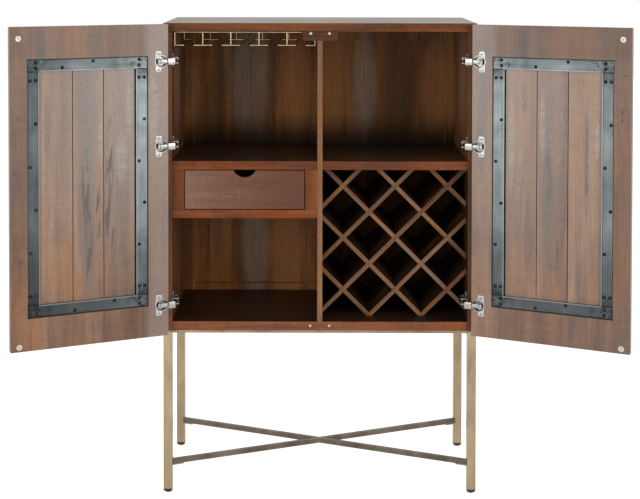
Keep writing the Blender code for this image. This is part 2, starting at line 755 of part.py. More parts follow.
def rivet(name, location, axis):
    """A low round head that faces out of the recess."""
    profile = [
        (0, RIVET_HEIGHT),
        (RIVET_RADIUS * 0.6, RIVET_HEIGHT * 0.8),
        (RIVET_RADIUS, RIVET_HEIGHT * 0.2),
        (RIVET_RADIUS, -IRON_THICKNESS / 2),
        (0, -IRON_THICKNESS / 2),
    ]
    return turned(name, profile, axis, None, location, (math.radians(-90), math.radians(10), 0), 8)


def rivet_places(side, wide, tall):
    """Pairs at the ends of every bar, with single rivets between them that step from side to side.

    The open doors show the same layout, so it's the same from left to right and not mirrored.
    """
    near, far = RIVET_EDGE, IRON_WIDTH - RIVET_EDGE
    ends = (wide[1], wide[0]) if side == "left" else wide
    rightward = math.copysign(1, ends[1] - ends[0])
    places = []
    for order, (x_edge, inward) in enumerate(((ends[0], rightward), (ends[1], -rightward))):
        for z_edge, up in ((tall[0], 1), (tall[1], -1)):
            for offset in (near, far):
                places.append((x_edge + inward * far, z_edge + up * offset))
                places.append((x_edge + inward * offset, z_edge + up * (IRON_WIDTH + far)))
        run = tall[1] - tall[0] - 2 * (IRON_WIDTH + far)
        for step in range(1, UPRIGHT_RIVETS + 1):
            z = tall[0] + IRON_WIDTH + far + run * step / (UPRIGHT_RIVETS + 1)
            places.append((x_edge + inward * (far if (step + order) % 2 == 0 else near), z))
    lines = {"bottom": (tall[0] + near, tall[0] + far), "top": (tall[1] - far, tall[1] - near)}
    for bar, reaches in BAR_RIVETS[side].items():
        for reach, z in zip(reaches, lines[bar]):
            places.append((ends[0] + rightward * reach, z))
    return places


def make_pull(side, axis, across, deep):
    """A round bar on two posts, standing on the outer face."""
    middle = (DOOR_BOTTOM + DOOR_TOP) / 2
    x = across(DOOR_WIDTH - PULL_FROM_EDGE, 0)[0]
    seat = deep(DOOR_THICKNESS + GAP, 0)[0]
    bar = deep(DOOR_THICKNESS + PULL_PROJECTION - PULL_RADIUS, 0)[0]
    ends = [(x, bar, middle + sign * PULL_LENGTH / 2) for sign in (-1, 1)]
    pull = rod(side + "_door_pull", *ends, PULL_RADIUS, axis, BRASS, sides=20)
    for order, sign in enumerate((-1, 1)):
        z = middle + sign * PULL_CENTRES / 2
        post = rod(f"{side}_pull_post_{order}", (x, seat, z), (x, bar, z), PULL_POST_RADIUS, axis, sides=16)
        join(pull, post)


# Hinges: a cup in the door, a cranked link pinned in it, and a channel arm on the case


def make_hinge(side, sign, name, z, axis, door_frame):
    """The link's far end runs between the flanges of the arm, as the pin of the real one does."""
    cup_x, flange_x, pin_x = (
        sign * (DOOR_EDGE - reach - AXIS_OUT) for reach in (CUP_FROM_EDGE, FLANGE_FROM_EDGE, PIN_FROM_EDGE)
    )
    face = -DOOR_CLOSED_GAP - AXIS_Y
    title = f"{side}_{name}_hinge"
    start, end = (cup_x, face + BOARD, z), (cup_x, face - CUP_DEPTH - GAP, z)
    bore = CUP_RADIUS + CUP_BORE_CLEARANCE
    cut(door_frame, rod(title + "_bore", start, end, bore, axis, sides=24))
    make_cup(title, cup_x, flange_x, pin_x, face + GAP, z, axis)
    make_link(title, sign, pin_x, face + LINK_RISE, z, axis)
    make_arm(title, sign, z)


def make_cup(title, x, flange_x, pin_x, face, z, axis):
    """A drilled-in cup whose screw flange lies off its middle, away from the door's edge."""
    inner, rim = CUP_RADIUS - CUP_WALL, CUP_RADIUS + CUP_RIM
    bottom = -CUP_DEPTH + GAP
    profile = [
        (0, bottom + CUP_WALL),
        (inner, bottom + CUP_WALL),
        (inner, FLANGE_THICKNESS),
        (rim, FLANGE_THICKNESS),
        (rim, 0),
        (CUP_RADIUS, 0),
        (CUP_RADIUS, bottom),
        (0, bottom),
    ]
    facing = (math.radians(-90), 0, 0)
    cup = turned(title + "_cup", profile, axis, NICKEL, (x, face, z), facing)
    pin_y = face - GAP + LINK_RISE
    wide = (flange_x - FLANGE_WIDTH / 2, flange_x + FLANGE_WIDTH / 2)
    up = (z - FLANGE_HEIGHT / 2, z + FLANGE_HEIGHT / 2)
    flange = box(title + "_flange", wide, (face, face + FLANGE_THICKNESS), up, axis)
    start, end = (x, face + BOARD, z), (x, face - BOARD, z)
    cut(flange, rod(title + "_flange_hole", start, end, inner + CUP_WALL / 2, axis, sides=24))
    join(cup, flange)
    for order, way in enumerate((-1, 1)):
        near = LINK_HEIGHT / 2 + LINK_SIDE_CLEARANCE
        ear_z = z + way * (near + EAR_THICKNESS / 2)
        ear_foot = face + bottom + CUP_WALL / 2
        outline = arc((pin_x, pin_y), EAR_WIDTH / 2, 0, 180, 8)
        outline += [(pin_x - EAR_WIDTH / 2, ear_foot), (pin_x + EAR_WIDTH / 2, ear_foot)]
        join(cup, prism(f"{title}_ear_{order}", [outline], EAR_THICKNESS, axis, None, (0, 0, ear_z)))
    reach = LINK_HEIGHT / 2 + LINK_SIDE_CLEARANCE + EAR_THICKNESS / 2
    ends = (pin_x, pin_y, z - reach), (pin_x, pin_y, z + reach)
    join(cup, rod(title + "_pin", *ends, PIN_RADIUS, axis, sides=12))


def link_points():
    """The link's bend and far end, from its pin, as the link lies on the shut door's frame."""
    pin = (DOOR_EDGE - PIN_FROM_EDGE, -DOOR_CLOSED_GAP + LINK_RISE)
    end_open = (INNER - LINK_END_FROM_WALL, LINK_END_DEPTH)
    end = swing(end_open, -OPEN_ANGLE)
    return (LINK_STRAIGHT, 0), (end[0] - pin[0], end[1] - pin[1])


def make_link(title, sign, x, y, z, axis):
    """A flat bar with an eye on the pin, cranked to pass the edges of the door and the case."""
    bend, end = (Vector(point) for point in link_points())
    half = LINK_THICKNESS / 2
    first, second = bend.normalized(), (end - bend).normalized()
    corner = (first - second).normalized() * (half / math.sin(first.angle(-second) / 2))
    second_angle = math.degrees(math.atan2(second.y, second.x))
    gain = math.degrees(math.asin(half / LINK_EYE))
    outline = arc((0, 0), LINK_EYE, gain, 360 - gain, 12)
    side = -1 if first.cross(second) > 0 else 1
    inside, outside = bend - corner, bend + corner
    low, high = (outside, inside) if side < 0 else (inside, outside)
    outline.append(tuple(low))
    outline += arc(tuple(end), half, second_angle - 90, second_angle + 90, 6)
    outline.append(tuple(high))
    hole = arc((0, 0), PIN_RADIUS + PIN_CLEARANCE, 0, 330, 11)
    place = empty(title + "_link_axis", (x, y, z), axis)
    outlines = [[(sign * across, up) for across, up in points] for points in (outline, hole)]
    prism(title + "_link", outlines, LINK_HEIGHT, place, NICKEL)


def make_arm(title, sign, z):
    """A plate with round wings on the case's side wall, and two flanges that the link runs between."""
    wall = INNER - GAP
    plate_z = LINK_HEIGHT / 2 + LINK_SIDE_CLEARANCE + ARM_FLANGE
    back = ARM_FRONT + ARM_NOSE
    outline = rounded_rectangle((back, ARM_BACK), (z - plate_z, z + plate_z), ARM_FLANGE)
    middle = sign * (wall - ARM_PLATE / 2)
    arm = prism(title + "_arm", [outline], ARM_PLATE, CABINET, NICKEL, (middle, 0, 0), SIDEWAYS)
    wing = (ARM_WING_FROM_FRONT, ARM_WING_FROM_FRONT + ARM_WING_LENGTH)
    wing_z = (z - ARM_WING_HEIGHT / 2, z + ARM_WING_HEIGHT / 2)
    outline = rounded_rectangle(wing, wing_z, ARM_WING_LENGTH / 2 - GAP, 6)
    wings = prism(title + "_wings", [outline], ARM_PLATE, CABINET, None, (middle, 0, 0), SIDEWAYS)
    join(arm, wings)
    off, nose = wall - ARM_OFF_WALL, wall - ARM_NOSE_OFF_WALL
    round_nose = (nose - off) / 2
    foot = wall - ARM_PLATE / 2
    flange = arc((off + round_nose, ARM_FRONT + round_nose), round_nose, 180, 360, 8)
    flange += [(nose, back), (foot, back), (foot, ARM_BACK)]
    flange += [(off + ARM_NOSE, ARM_BACK), (off, ARM_BACK - ARM_NOSE)]
    points = [(sign * out, y) for out, y in flange]
    for order, way in enumerate((-1, 1)):
        flange_z = z + way * (plate_z - ARM_FLANGE / 2)
        join(arm, prism(f"{title}_flange_{order}", [points], ARM_FLANGE, CABINET, None, (0, 0, flange_z)))


make_case()
make_drawer_bay()
make_drawer()
make_lattice()
make_rack()
make_stand()
for door_side, door_sign in SIDES.items():
    make_door(door_side, door_sign)
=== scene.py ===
"""Looks, light and camera for the bar cabinet with its doors standing open."""

import json
import math

import bmesh
import bpy
from mathutils import Matrix, Vector


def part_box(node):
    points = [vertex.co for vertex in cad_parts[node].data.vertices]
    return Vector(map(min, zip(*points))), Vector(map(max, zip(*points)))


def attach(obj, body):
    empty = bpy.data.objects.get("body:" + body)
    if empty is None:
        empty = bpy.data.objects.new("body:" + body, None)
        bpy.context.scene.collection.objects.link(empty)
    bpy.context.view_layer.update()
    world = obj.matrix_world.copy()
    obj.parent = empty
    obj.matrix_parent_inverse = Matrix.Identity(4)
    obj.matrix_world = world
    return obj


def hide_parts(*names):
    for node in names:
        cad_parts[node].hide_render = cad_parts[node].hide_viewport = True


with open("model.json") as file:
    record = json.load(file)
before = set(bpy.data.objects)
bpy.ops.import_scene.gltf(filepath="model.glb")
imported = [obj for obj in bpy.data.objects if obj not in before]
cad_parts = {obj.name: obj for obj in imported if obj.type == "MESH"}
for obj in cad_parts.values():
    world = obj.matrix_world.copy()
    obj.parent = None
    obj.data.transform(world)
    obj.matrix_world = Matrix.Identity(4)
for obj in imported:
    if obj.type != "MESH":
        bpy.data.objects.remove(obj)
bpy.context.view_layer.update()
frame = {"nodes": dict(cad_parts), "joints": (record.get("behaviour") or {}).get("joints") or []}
nodes = frame["nodes"]

SIDES = {"left": -1, "right": 1}
PLACES = ("top", "middle", "bottom")
OPEN_ANGLE = math.radians(156)
SHARP_ANGLE = math.radians(35)
GAP = 0.0003
CASE_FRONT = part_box("top_panel")[0].y
BACK_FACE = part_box("back_frame")[0].y
LEG_PLUG_TOP = 0.0112
RING_FOOT = 0.4715

# The shut door's inner face and hinge edge, from the hinge axis
FACE = 0.0172
EDGE = 0.0058

# The doors, across from the hinge edge and deep from the inner face
DOOR_WIDTH = 0.455
DOOR_THICKNESS = 0.022
RECESS = (0.0603, 0.4077)
RECESS_DEPTH = 0.009
SEAMS = (0.189, 0.278)
IRON_WIDTH = 0.035
IRON_RIM = 0.0035
IRON_DEPTH = 0.0057

# Half the height of the cover sunk in each hinge arm's channel
COVER_HALF = 0.0058


def hinge_axis(side):
    for joint in frame["joints"]:
        if joint["name"] == side + "_door_hinge":
            return Vector(joint["pos_m"])


def door_place(side):
    """The open door's own frame: x runs out to the hinge edge (times the side's sign), y into the case."""
    axis = hinge_axis(side)
    turn = Matrix.Rotation(SIDES[side] * OPEN_ANGLE, 4, "Z")
    return Matrix.Translation((axis.x, axis.y, 0)) @ turn


# Materials


class Nodes:
    """A node tree, with short calls for the nodes used here."""

    def __init__(self, tree):
        self.tree = tree

    def node(self, kind, inputs=None, **settings):
        made = self.tree.nodes.new("ShaderNode" + kind)
        for key, value in settings.items():
            setattr(made, key, value)
        for key, value in (inputs or {}).items():
            self.set(made.inputs[key], value)
        return made

    def set(self, socket, value):
        if isinstance(value, bpy.types.NodeSocket):
            self.tree.links.new(value, socket)
        elif isinstance(value, tuple) and len(value) == 3 and socket.type == "RGBA":
            socket.default_value = (*value, 1)
        else:
            socket.default_value = value

    def maths(self, operation, one, two=0.0):
        return self.node("Math", {0: one, 1: two}, operation=operation).outputs[0]

    def plus(self, one, two):
        return self.maths("ADD", one, two)

    def less(self, one, two):
        return self.maths("SUBTRACT", one, two)

    def times(self, one, two):
        return self.maths("MULTIPLY", one, two)

    def off(self, value, centre):
        """Distance from a centre."""
        return self.maths("ABSOLUTE", self.less(value, centre))

    def ranged(self, value, low, high, to_low=0.0, to_high=1.0, curve="LINEAR"):
        inputs = {0: value, 1: low, 2: high, 3: to_low, 4: to_high}
        return self.node("MapRange", inputs, interpolation_type=curve).outputs[0]

    def smooth(self, value, low, high, to_low=0.0, to_high=1.0):
        return self.ranged(value, low, high, to_low, to_high, "SMOOTHSTEP")

    def split(self, vector):
        return self.node("SeparateXYZ", {0: vector}).outputs

    def joined(self, x, y, z):
        return self.node("CombineXYZ", {0: x, 1: y, 2: z}).outputs[0]

    def stretched(self, vector, scale):
        """By three values, or by one on every axis."""
        scale = scale if isinstance(scale, tuple) else (scale,) * 3
        return self.node("VectorMath", {0: vector, 1: scale}, operation="MULTIPLY").outputs["Vector"]

    def sum(self, one, two):
        return self.node("VectorMath", {0: one, 1: two}, operation="ADD").outputs["Vector"]

    def turned(self, vector, turn, move):
        inputs = {"Vector": vector, "Rotation": turn, "Location": move}
        return self.node("Mapping", inputs).outputs["Vector"]

    def noise(self, vector, scale, detail, roughness=0.5, distortion=0.0, colour=False):
        inputs = {"Vector": self.stretched(vector, scale), "Scale": 1.0, "Detail": detail}
        inputs.update({"Roughness": roughness, "Distortion": distortion})
        return self.node("TexNoise", inputs).outputs["Color" if colour else "Fac"]

    def boards(self, across, width, uneven):
        """One random colour for each board of about this width."""
        inputs = {"W": self.times(across, 1 / width), "Scale": 1.0, "Randomness": uneven}
        return self.node("TexVoronoi", inputs, voronoi_dimensions="1D").outputs["Color"]

    def blobs(self, across, up, spots):
        """One inside any of the soft ovals (across, up, half width, half height), and none far from them."""
        whole = None
        for x, z, wide, tall in spots:
            one = self.maths("DIVIDE", self.off(across, x), wide)
            two = self.maths("DIVIDE", self.off(up, z), tall)
            reach = self.plus(self.times(one, one), self.times(two, two))
            spot = self.smooth(reach, 0.1, 1.0, 1.0, 0.0)
            whole = spot if whole is None else self.maths("MAXIMUM", whole, spot)
        return whole

    def ramp(self, value, stops):
        made = self.node("ValToRGB", {"Fac": value})
        band = made.color_ramp.elements
        while len(band) < len(stops):
            band.new(0.5)
        for stop, (at, colour) in zip(band, stops):
            stop.position = at
            stop.color = (*colour, 1)
        return made.outputs["Color"]

    def mix(self, factor, one, two, blend="MIX"):
        inputs = {0: factor, 6: one, 7: two}
        return self.node("Mix", inputs, data_type="RGBA", blend_type=blend).outputs[2]

    def mix_value(self, factor, one, two):
        return self.node("Mix", {0: factor, 2: one, 3: two}, data_type="FLOAT").outputs[0]


class Look(Nodes):
    """A surface's material, named NAME_look, with its colour so far."""

    def __init__(self, name, roughness=0.5, metallic=0.0):
        self.material = bpy.data.materials.new(name + "_look")
        self.material.use_nodes = True
        super().__init__(self.material.node_tree)
        self.shader = self.tree.nodes["Principled BSDF"].inputs
        self.shader["Roughness"].default_value = roughness
        self.shader["Metallic"].default_value = metallic

    def place(self):
        return self.node("TexCoord").outputs["Object"]

    def door(self, side):
        """Across from the open door's hinge edge, deep from its inner face, and up."""
        axis = hinge_axis(side)
        sign = SIDES[side]
        inputs = {"Vector": self.place(), "Location": (axis.x, axis.y, 0)}
        inputs["Rotation"] = (0, 0, sign * OPEN_ANGLE)
        x, y, up = self.split(self.node("Mapping", inputs, vector_type="TEXTURE").outputs["Vector"])[:3]
        return self.less(EDGE, self.times(x, sign)), self.less(FACE, y), up

    def coat(self, factor, shade, blend="MIX"):
        """Turns the colour towards another one."""
        self.colour = self.mix(factor, self.colour, shade, blend)

    def dim(self, level):
        self.coat(1.0, self.joined(level, level, level), "MULTIPLY")

    def patch(self, at, spots, strength, shade):
        """Turns the colour towards a shade inside soft ovals, where at is (across, up)."""
        self.coat(self.times(self.blobs(*at, spots), strength), shade)

    def bump(self, height, distance, strength):
        made = self.node("Bump", {"Height": height, "Distance": distance, "Strength": strength})
        self.set(self.shader["Normal"], made.outputs["Normal"])

    def finish(self, roughness=None):
        self.set(self.shader["Base Color"], self.colour)
        if roughness is not None:
            self.set(self.shader["Roughness"], roughness)
        return self.material


UP = (0, 0, 0)
ALONG_X = (0, math.pi / 2, 0)
PLANK_SEED = {"left": 4.0, "right": 11.0}


def glued(turn=UP, move=(0, 0, 0), board=0.115):
    """Boards of about one width, side by side along the turned x axis."""

    def layout(look):
        place = look.turned(look.place(), turn, move)
        return place, look.boards(look.split(place)[0], board, 0.75)

    return layout


def door_boards(side):
    """The boards of a door's frame, with the grain upright."""

    def layout(look):
        across, deep, up = look.door(side)
        seeded = look.plus(across, 1 + SIDES[side])
        return look.joined(across, deep, up), look.boards(seeded, 0.105, 0.7)

    return layout


def door_planks(side):
    """The three planks, which change grain at each groove."""

    def layout(look):
        across, deep, up = look.door(side)
        order = look.plus(*(look.maths("GREATER_THAN", across, seam) for seam in SEAMS))
        order = look.plus(order, PLANK_SEED[side])
        tone = look.node("TexWhiteNoise", {"W": order}, noise_dimensions="1D").outputs["Color"]
        return look.joined(across, deep, up), tone

    return layout


def wood(name, layout, palette, contrast=1.0, shine=0.5, marks_and_painted_light=None):
    """Stained hardwood, its grain along the z axis of the layout's frame."""
    dark, base, pale = palette
    look = Look(name)
    look.shader["Specular IOR Level"].default_value = shine
    place, cell = layout(look)
    tone = look.split(cell)
    shifted = look.sum(place, look.stretched(cell, (3.1, 2.3, 5.7)))
    bend = look.stretched(look.noise(shifted, (3, 3, 1.1), 2, colour=True), (0.05, 0.05, 0))
    flow = look.sum(shifted, bend)
    figure = look.noise(flow, (26, 26, 0.9), 5, 0.55, 0.35)
    cathedral = look.noise(flow, (9, 9, 0.55), 3, 0.5, 1.2)
    rings = look.maths("SINE", look.times(cathedral, 58))
    fibre = look.noise(flow, (420, 420, 9), 3, 0.6)
    pores = look.noise(flow, (480, 480, 62), 1)
    speck = look.noise(flow, (700, 700, 210), 1)
    hue = look.noise(shifted, (9, 9, 3.2), 2, 0.5, 0.6)
    ripple = look.noise(flow, (14, 14, 62), 2, 0.5, 0.9)
    blotch = look.noise(shifted, (7, 7, 2.0), 3, 0.55, 0.5)
    streak = look.noise(flow, (22, 22, 2.2), 3, 0.5, 0.4)
    value = look.ranged(figure, 0.3, 0.7, 0.5 - 0.26 * contrast, 0.5 + 0.26 * contrast)
    value = look.plus(value, look.times(rings, 0.05 * contrast))
    for part, reach in ((fibre, 0.17), (ripple, 0.08), (blotch, 0.16 * contrast)):
        value = look.plus(value, look.ranged(part, 0.3, 0.7, -reach, reach))
    value = look.plus(value, look.ranged(tone[0], 0, 1, -0.13, 0.13))
    middle = tuple(0.4 * a + 0.6 * b for a, b in zip(dark, base))
    look.colour = look.ramp(value, [(0.0, dark), (0.27, middle), (0.52, base), (0.92, pale)])
    level = 0.2 * base[0] + 0.25 * base[1]
    grey = tuple(0.28 * part + level * shade for part, shade in zip(base, (0.42, 0.4, 0.38)))
    look.coat(look.ranged(streak, 0.56, 0.7, 0.0, 0.6 * contrast), grey)
    look.coat(look.ranged(tone[1], 0, 1, 0, 0.6), (0.86, 0.97, 1.08), "MULTIPLY")
    look.coat(look.ranged(hue, 0.52, 0.64, 0, 0.8), (1.16, 0.98, 0.66), "MULTIPLY")
    look.coat(look.ranged(hue, 0.48, 0.38, 0, 0.8), (0.82, 0.8, 0.92), "MULTIPLY")
    if marks_and_painted_light:
        marks_and_painted_light(look, ripple, fibre)
    pits = look.ranged(pores, 0.6, 0.72, 0.0, 0.28)
    look.dim(look.ranged(speck, 0.35, 0.65, 0.9, 1.1))
    look.coat(pits, tuple(0.4 * part for part in dark))
    look.bump(look.less(look.times(fibre, 0.5), pits), 0.00025, 0.3)
    return look.finish(look.ranged(look.plus(fibre, blotch), 0.7, 1.3, 0.3, 0.44))


# Marks in the wood of the doors' inner faces, as soft ovals: across, up, half width and half height
GREY_BANDS = {
    "left": (
        (0.234, 0.94, 0.03, 0.44), (0.35, 1.09, 0.012, 0.12), (0.219, 1.33, 0.03, 0.06),
        (0.367, 1.32, 0.018, 0.06),
    ),
    "right": (
        (0.222, 0.97, 0.024, 0.36), (0.371, 1.33, 0.04, 0.05), (0.331, 1.0, 0.008, 0.22),
        (0.03, 1.1, 0.02, 0.2),
    ),
}
DARK_STREAKS = {
    "left": (
        (0.241, 0.92, 0.014, 0.13), (0.233, 0.76, 0.014, 0.13), (0.172, 0.99, 0.015, 0.15),
        (0.177, 0.85, 0.012, 0.1), (0.161, 0.75, 0.008, 0.06), (0.205, 0.84, 0.008, 0.1),
    ),
    "right": (
        (0.153, 1.16, 0.008, 0.1), (0.222, 0.95, 0.014, 0.1), (0.331, 0.98, 0.007, 0.16),
        (0.25, 0.7, 0.006, 0.08),
    ),
}
ORANGE = {
    "left": (
        (0.312, 0.7, 0.036, 0.09), (0.275, 0.64, 0.02, 0.05), (0.41, 0.55, 0.05, 0.12),
        (0.22, 0.57, 0.05, 0.05),
    ),
    "right": (
        (0.13, 0.66, 0.03, 0.1), (0.24, 0.62, 0.03, 0.08), (0.3, 1.33, 0.12, 0.07),
        (0.35, 0.63, 0.02, 0.06),
    ),
}
PALE = {
    "left": (
        (0.138, 1.0, 0.022, 0.09), (0.115, 1.14, 0.012, 0.1), (0.197, 1.05, 0.007, 0.09),
        (0.045, 1.13, 0.02, 0.14),
    ),
    "right": ((0.36, 1.06, 0.01, 0.06), (0.205, 1.1, 0.01, 0.12), (0.115, 1.05, 0.012, 0.18)),
}
KNOTS = {
    "left": ((0.432, 1.12, 0.0032, 0.008), (0.427, 0.723, 0.0036, 0.008)),
    "right": ((0.43, 1.143, 0.0032, 0.009), (0.43, 1.121, 0.0034, 0.008), (0.44, 1.245, 0.007, 0.0035)),
}
STREAK_DEPTH = {"left": 0.72, "right": 0.4}

# The sheen painted over a door's inner face as a pale highlight in its colour: its colour, and how strong it
# is
PAINTED_SHEEN = (0.42, 0.355, 0.315)
PAINTED_SHEEN_TOP = {"left": 0.6, "right": 0.45}
PAINTED_SHEEN_LOW = {"left": 0.0, "right": 0.08}
HINGE_PAINTED_SHEEN = {"left": 0.62, "right": 0.34}

# Where across the door the painted sheen ends, over its frame and over its planks, and what is left of it
# there
FRAME_CLEAR = {"left": (0.085, 0.045, 0.18), "right": (0.085, 0.045, 0.06)}
PLANKS_CLEAR = (0.4, 0.06, 0.5)

# Painted shade on each door's top rail, as a level by its hinge edge and by its meeting edge
RAIL_SHADE = {"left": (0.95, 0.86), "right": (0.84, 0.72)}


def door_marks_and_sheen(side, clear):
    """A cool sheen painted towards the top and the hinges, painted shade on the top rail, and this door's
    own bands, streaks and knots.
    """

    def marks_and_painted_light(look, ripple, fibre):
        across, deep, up = look.door(side)
        plain = look.colour
        at = (across, up)
        grey = look.ranged(ripple, 0.38, 0.62, 0.4, 1.0)
        warm = look.ranged(fibre, 0.3, 0.7, 0.2, 0.6)
        light = look.ranged(ripple, 0.35, 0.65, 0.2, 0.6)
        look.patch(at, GREY_BANDS[side], grey, (0.12, 0.096, 0.08))
        look.patch(at, ORANGE[side], warm, (0.37, 0.155, 0.048))
        look.patch(at, PALE[side], light, (0.5, 0.43, 0.37))
        # Painted sheen: a pale highlight mixed into the colour, strongest at the top and by the hinge edge
        by_hinge = look.smooth(across, 0.085, 0.045, 0.0, HINGE_PAINTED_SHEEN[side])
        painted_sheen = look.maths("MAXIMUM", look.smooth(up, 0.5, 1.12), by_hinge)
        painted_sheen = look.times(painted_sheen, look.smooth(across, *clear, 1.0))
        look.coat(look.ranged(painted_sheen, 0, 1, PAINTED_SHEEN_LOW[side], PAINTED_SHEEN_TOP[side]), PAINTED_SHEEN)
        # Painted shade: the top rail dimmed, most by its meeting edge
        shade = look.ranged(across, 0.03, 0.43, *RAIL_SHADE[side])
        look.dim(look.mix_value(look.smooth(up, 1.27, 1.3), 1.0, shade))
        slant = look.plus(look.times(across, 75), look.times(up, 6))
        dashes = look.noise(look.joined(slant, 0.0, up), (1, 1, 11), 3, 0.6, 0.5)
        dashes = look.smooth(dashes, 0.44, 0.55, 0.0, STREAK_DEPTH[side])
        look.patch(at, DARK_STREAKS[side], dashes, (0.055, 0.038, 0.031))
        look.patch(at, KNOTS[side], 0.9, (0.06, 0.03, 0.02))
        look.colour = look.mix(look.smooth(deep, 0.0125, 0.0145, 1.0, 0.0), plain, look.colour)

    return marks_and_painted_light


# Each wood's dark, middle and pale tone
REDS = ((0.085, 0.024, 0.01), (0.255, 0.072, 0.024), (0.33, 0.12, 0.048))
BROWNS = ((0.07, 0.03, 0.016), (0.22, 0.09, 0.043), (0.35, 0.18, 0.1))
SIDE_REDS = ((0.06, 0.02, 0.008), (0.25, 0.092, 0.034), (0.35, 0.16, 0.07))
FRAME_BROWNS = ((0.08, 0.036, 0.019), (0.228, 0.112, 0.06), (0.33, 0.185, 0.11))
DOOR_BROWNS = ((0.085, 0.038, 0.02), (0.285, 0.138, 0.07), (0.4, 0.225, 0.13))
INSIDES = ((0.05, 0.02, 0.007), (0.225, 0.092, 0.03), (0.34, 0.155, 0.058))
TOP_BROWNS = ((0.055, 0.028, 0.01), (0.16, 0.09, 0.036), (0.23, 0.14, 0.066))
EDGE_HIGHLIGHT_BROWNS = ((0.15, 0.07, 0.03), (0.33, 0.155, 0.068), (0.43, 0.23, 0.115))
SHADED_INSIDES = ((0.008, 0.004, 0.002), (0.028, 0.013, 0.007), (0.08, 0.038, 0.019))
DIVIDER_BROWNS = ((0.08, 0.034, 0.018), (0.25, 0.12, 0.064), (0.37, 0.2, 0.11))
SHADED_SLAT_SIDES = ((0.01, 0.005, 0.002), (0.04, 0.02, 0.01), (0.15, 0.07, 0.032))
SLAT_EDGES = ((0.1, 0.04, 0.018), (0.25, 0.118, 0.056), (0.37, 0.2, 0.11))
GROOVE_SHADES = ((0.006, 0.003, 0.002), (0.012, 0.006, 0.004), (0.022, 0.011, 0.007))

# Patches on the back as seen from the front, each kind's soft ovals with its colour
BACK_GREY = ((-0.225, 1.2, 0.075, 0.3), (-0.205, 0.66, 0.055, 0.22), (0.145, 1.15, 0.05, 0.22))
BACK_WARM = (
    (-0.075, 1.16, 0.06, 0.26), (0.045, 1.17, 0.05, 0.3), (-0.1, 0.62, 0.09, 0.2),
    (0.37, 1.15, 0.06, 0.22), (0.418, 1.17, 0.02, 0.26),
)
BACK_DARK = ((-0.325, 1.1, 0.035, 0.3), (0.25, 1.12, 0.06, 0.32), (-0.42, 0.65, 0.02, 0.3))
BACK_PATCHES = (
    (BACK_GREY, (0.32, 0.24, 0.18)),
    (BACK_WARM, (0.37, 0.16, 0.058)),
    (BACK_DARK, (0.07, 0.034, 0.016)),
)
BACK_OPENING = 0.4005


def back_marks_and_shading(look, ripple, fibre):
    """Grey, warm and dark boards, a painted highlight along the arris by the sides, painted shade at the
    upper bays' foot, and brighter below 0.86 m.
    """
    across, deep, up = look.split(look.place())[:3]
    grain = look.ranged(fibre, 0.3, 0.7, 0.35, 0.85)
    plain = look.colour
    for spots, shade in BACK_PATCHES:
        look.patch((across, up), spots, grain, shade)
    # Painted highlight: a pale line along the arris at the openings' outer edges
    arris_highlight = look.off(look.maths("ABSOLUTE", across), BACK_OPENING)
    arris_highlight = look.smooth(arris_highlight, 0.001, 0.0022, 0.8, 0.0)
    arris_highlight = look.times(arris_highlight, look.maths("LESS_THAN", deep, BACK_FACE + 0.0005))
    look.coat(arris_highlight, (0.36, 0.22, 0.13))
    # Painted shade just above the upper bays' shelf; the back is also made brighter below 0.86 m
    foot = look.mix_value(look.maths("GREATER_THAN", up, 0.97), 1.0, look.smooth(up, 0.98, 1.085, 0.14, 1.0))
    look.dim(look.times(look.ranged(up, 0.86, 0.8, 1.0, 1.28), foot))
    inside = look.maths("LESS_THAN", deep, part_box("back_sheet")[1].y - 0.001)
    look.colour = look.mix(inside, plain, look.colour)


def stile_shade(look, ripple, fibre):
    """Darker on the left, painted shade where the left door's shadow falls."""
    across = look.split(look.place())[0]
    look.coat(look.smooth(across, -0.3, -0.41, 0.0, 0.5), (0.11, 0.052, 0.03))


def side_greys_and_shade(look, ripple, fibre):
    """Greyer in the upper bays, and on the right painted shade in the lattice's bay and along the front
    edge.
    """
    across, deep, up = look.split(look.place())[:3]
    grey = look.smooth(look.maths("ABSOLUTE", across), 0.4335, 0.4325)
    grey = look.times(grey, look.smooth(look.off(deep, 0.07), 0.06, 0.1, 0.55, 0.0))
    grey = look.times(grey, look.smooth(up, 1.0, 1.14))
    grey = look.times(grey, look.ranged(fibre, 0.3, 0.7, 0.7, 1.0))
    look.coat(grey, (0.3, 0.225, 0.18))
    # Painted shade inside the lattice's bay and along the right side's front edge
    inside = look.smooth(across, 0.4335, 0.4325, 0.0, 0.85)
    inside = look.times(inside, look.smooth(up, 0.97, 0.92))
    edge = look.smooth(deep, CASE_FRONT + 0.0012, CASE_FRONT + 0.0004, 0.0, 0.45)
    shade = look.times(look.maths("MAXIMUM", inside, edge), look.maths("GREATER_THAN", across, 0.4))
    look.coat(shade, (0.022, 0.013, 0.008))


def edge_marks(look, ripple, fibre):
    """The top board's edge is browner than the shelves' edges, and the bottom board's is paler."""
    up = look.split(look.place())[2]
    high = look.maths("GREATER_THAN", up, 1.3)
    look.coat(high, (0.82, 1.02, 1.22), "MULTIPLY")
    low = look.maths("LESS_THAN", up, 0.55)
    look.coat(low, (1.22, 1.38, 1.7), "MULTIPLY")


def drawer_marks(look, ripple, fibre):
    """Paler on the left and redder on the right."""
    across = look.split(look.place())[0]
    look.coat(look.smooth(across, -0.24, -0.4, 0.0, 0.4), (0.3, 0.19, 0.135))
    look.coat(look.smooth(across, -0.27, -0.05, 0.0, 0.8), (0.125, 0.04, 0.018))


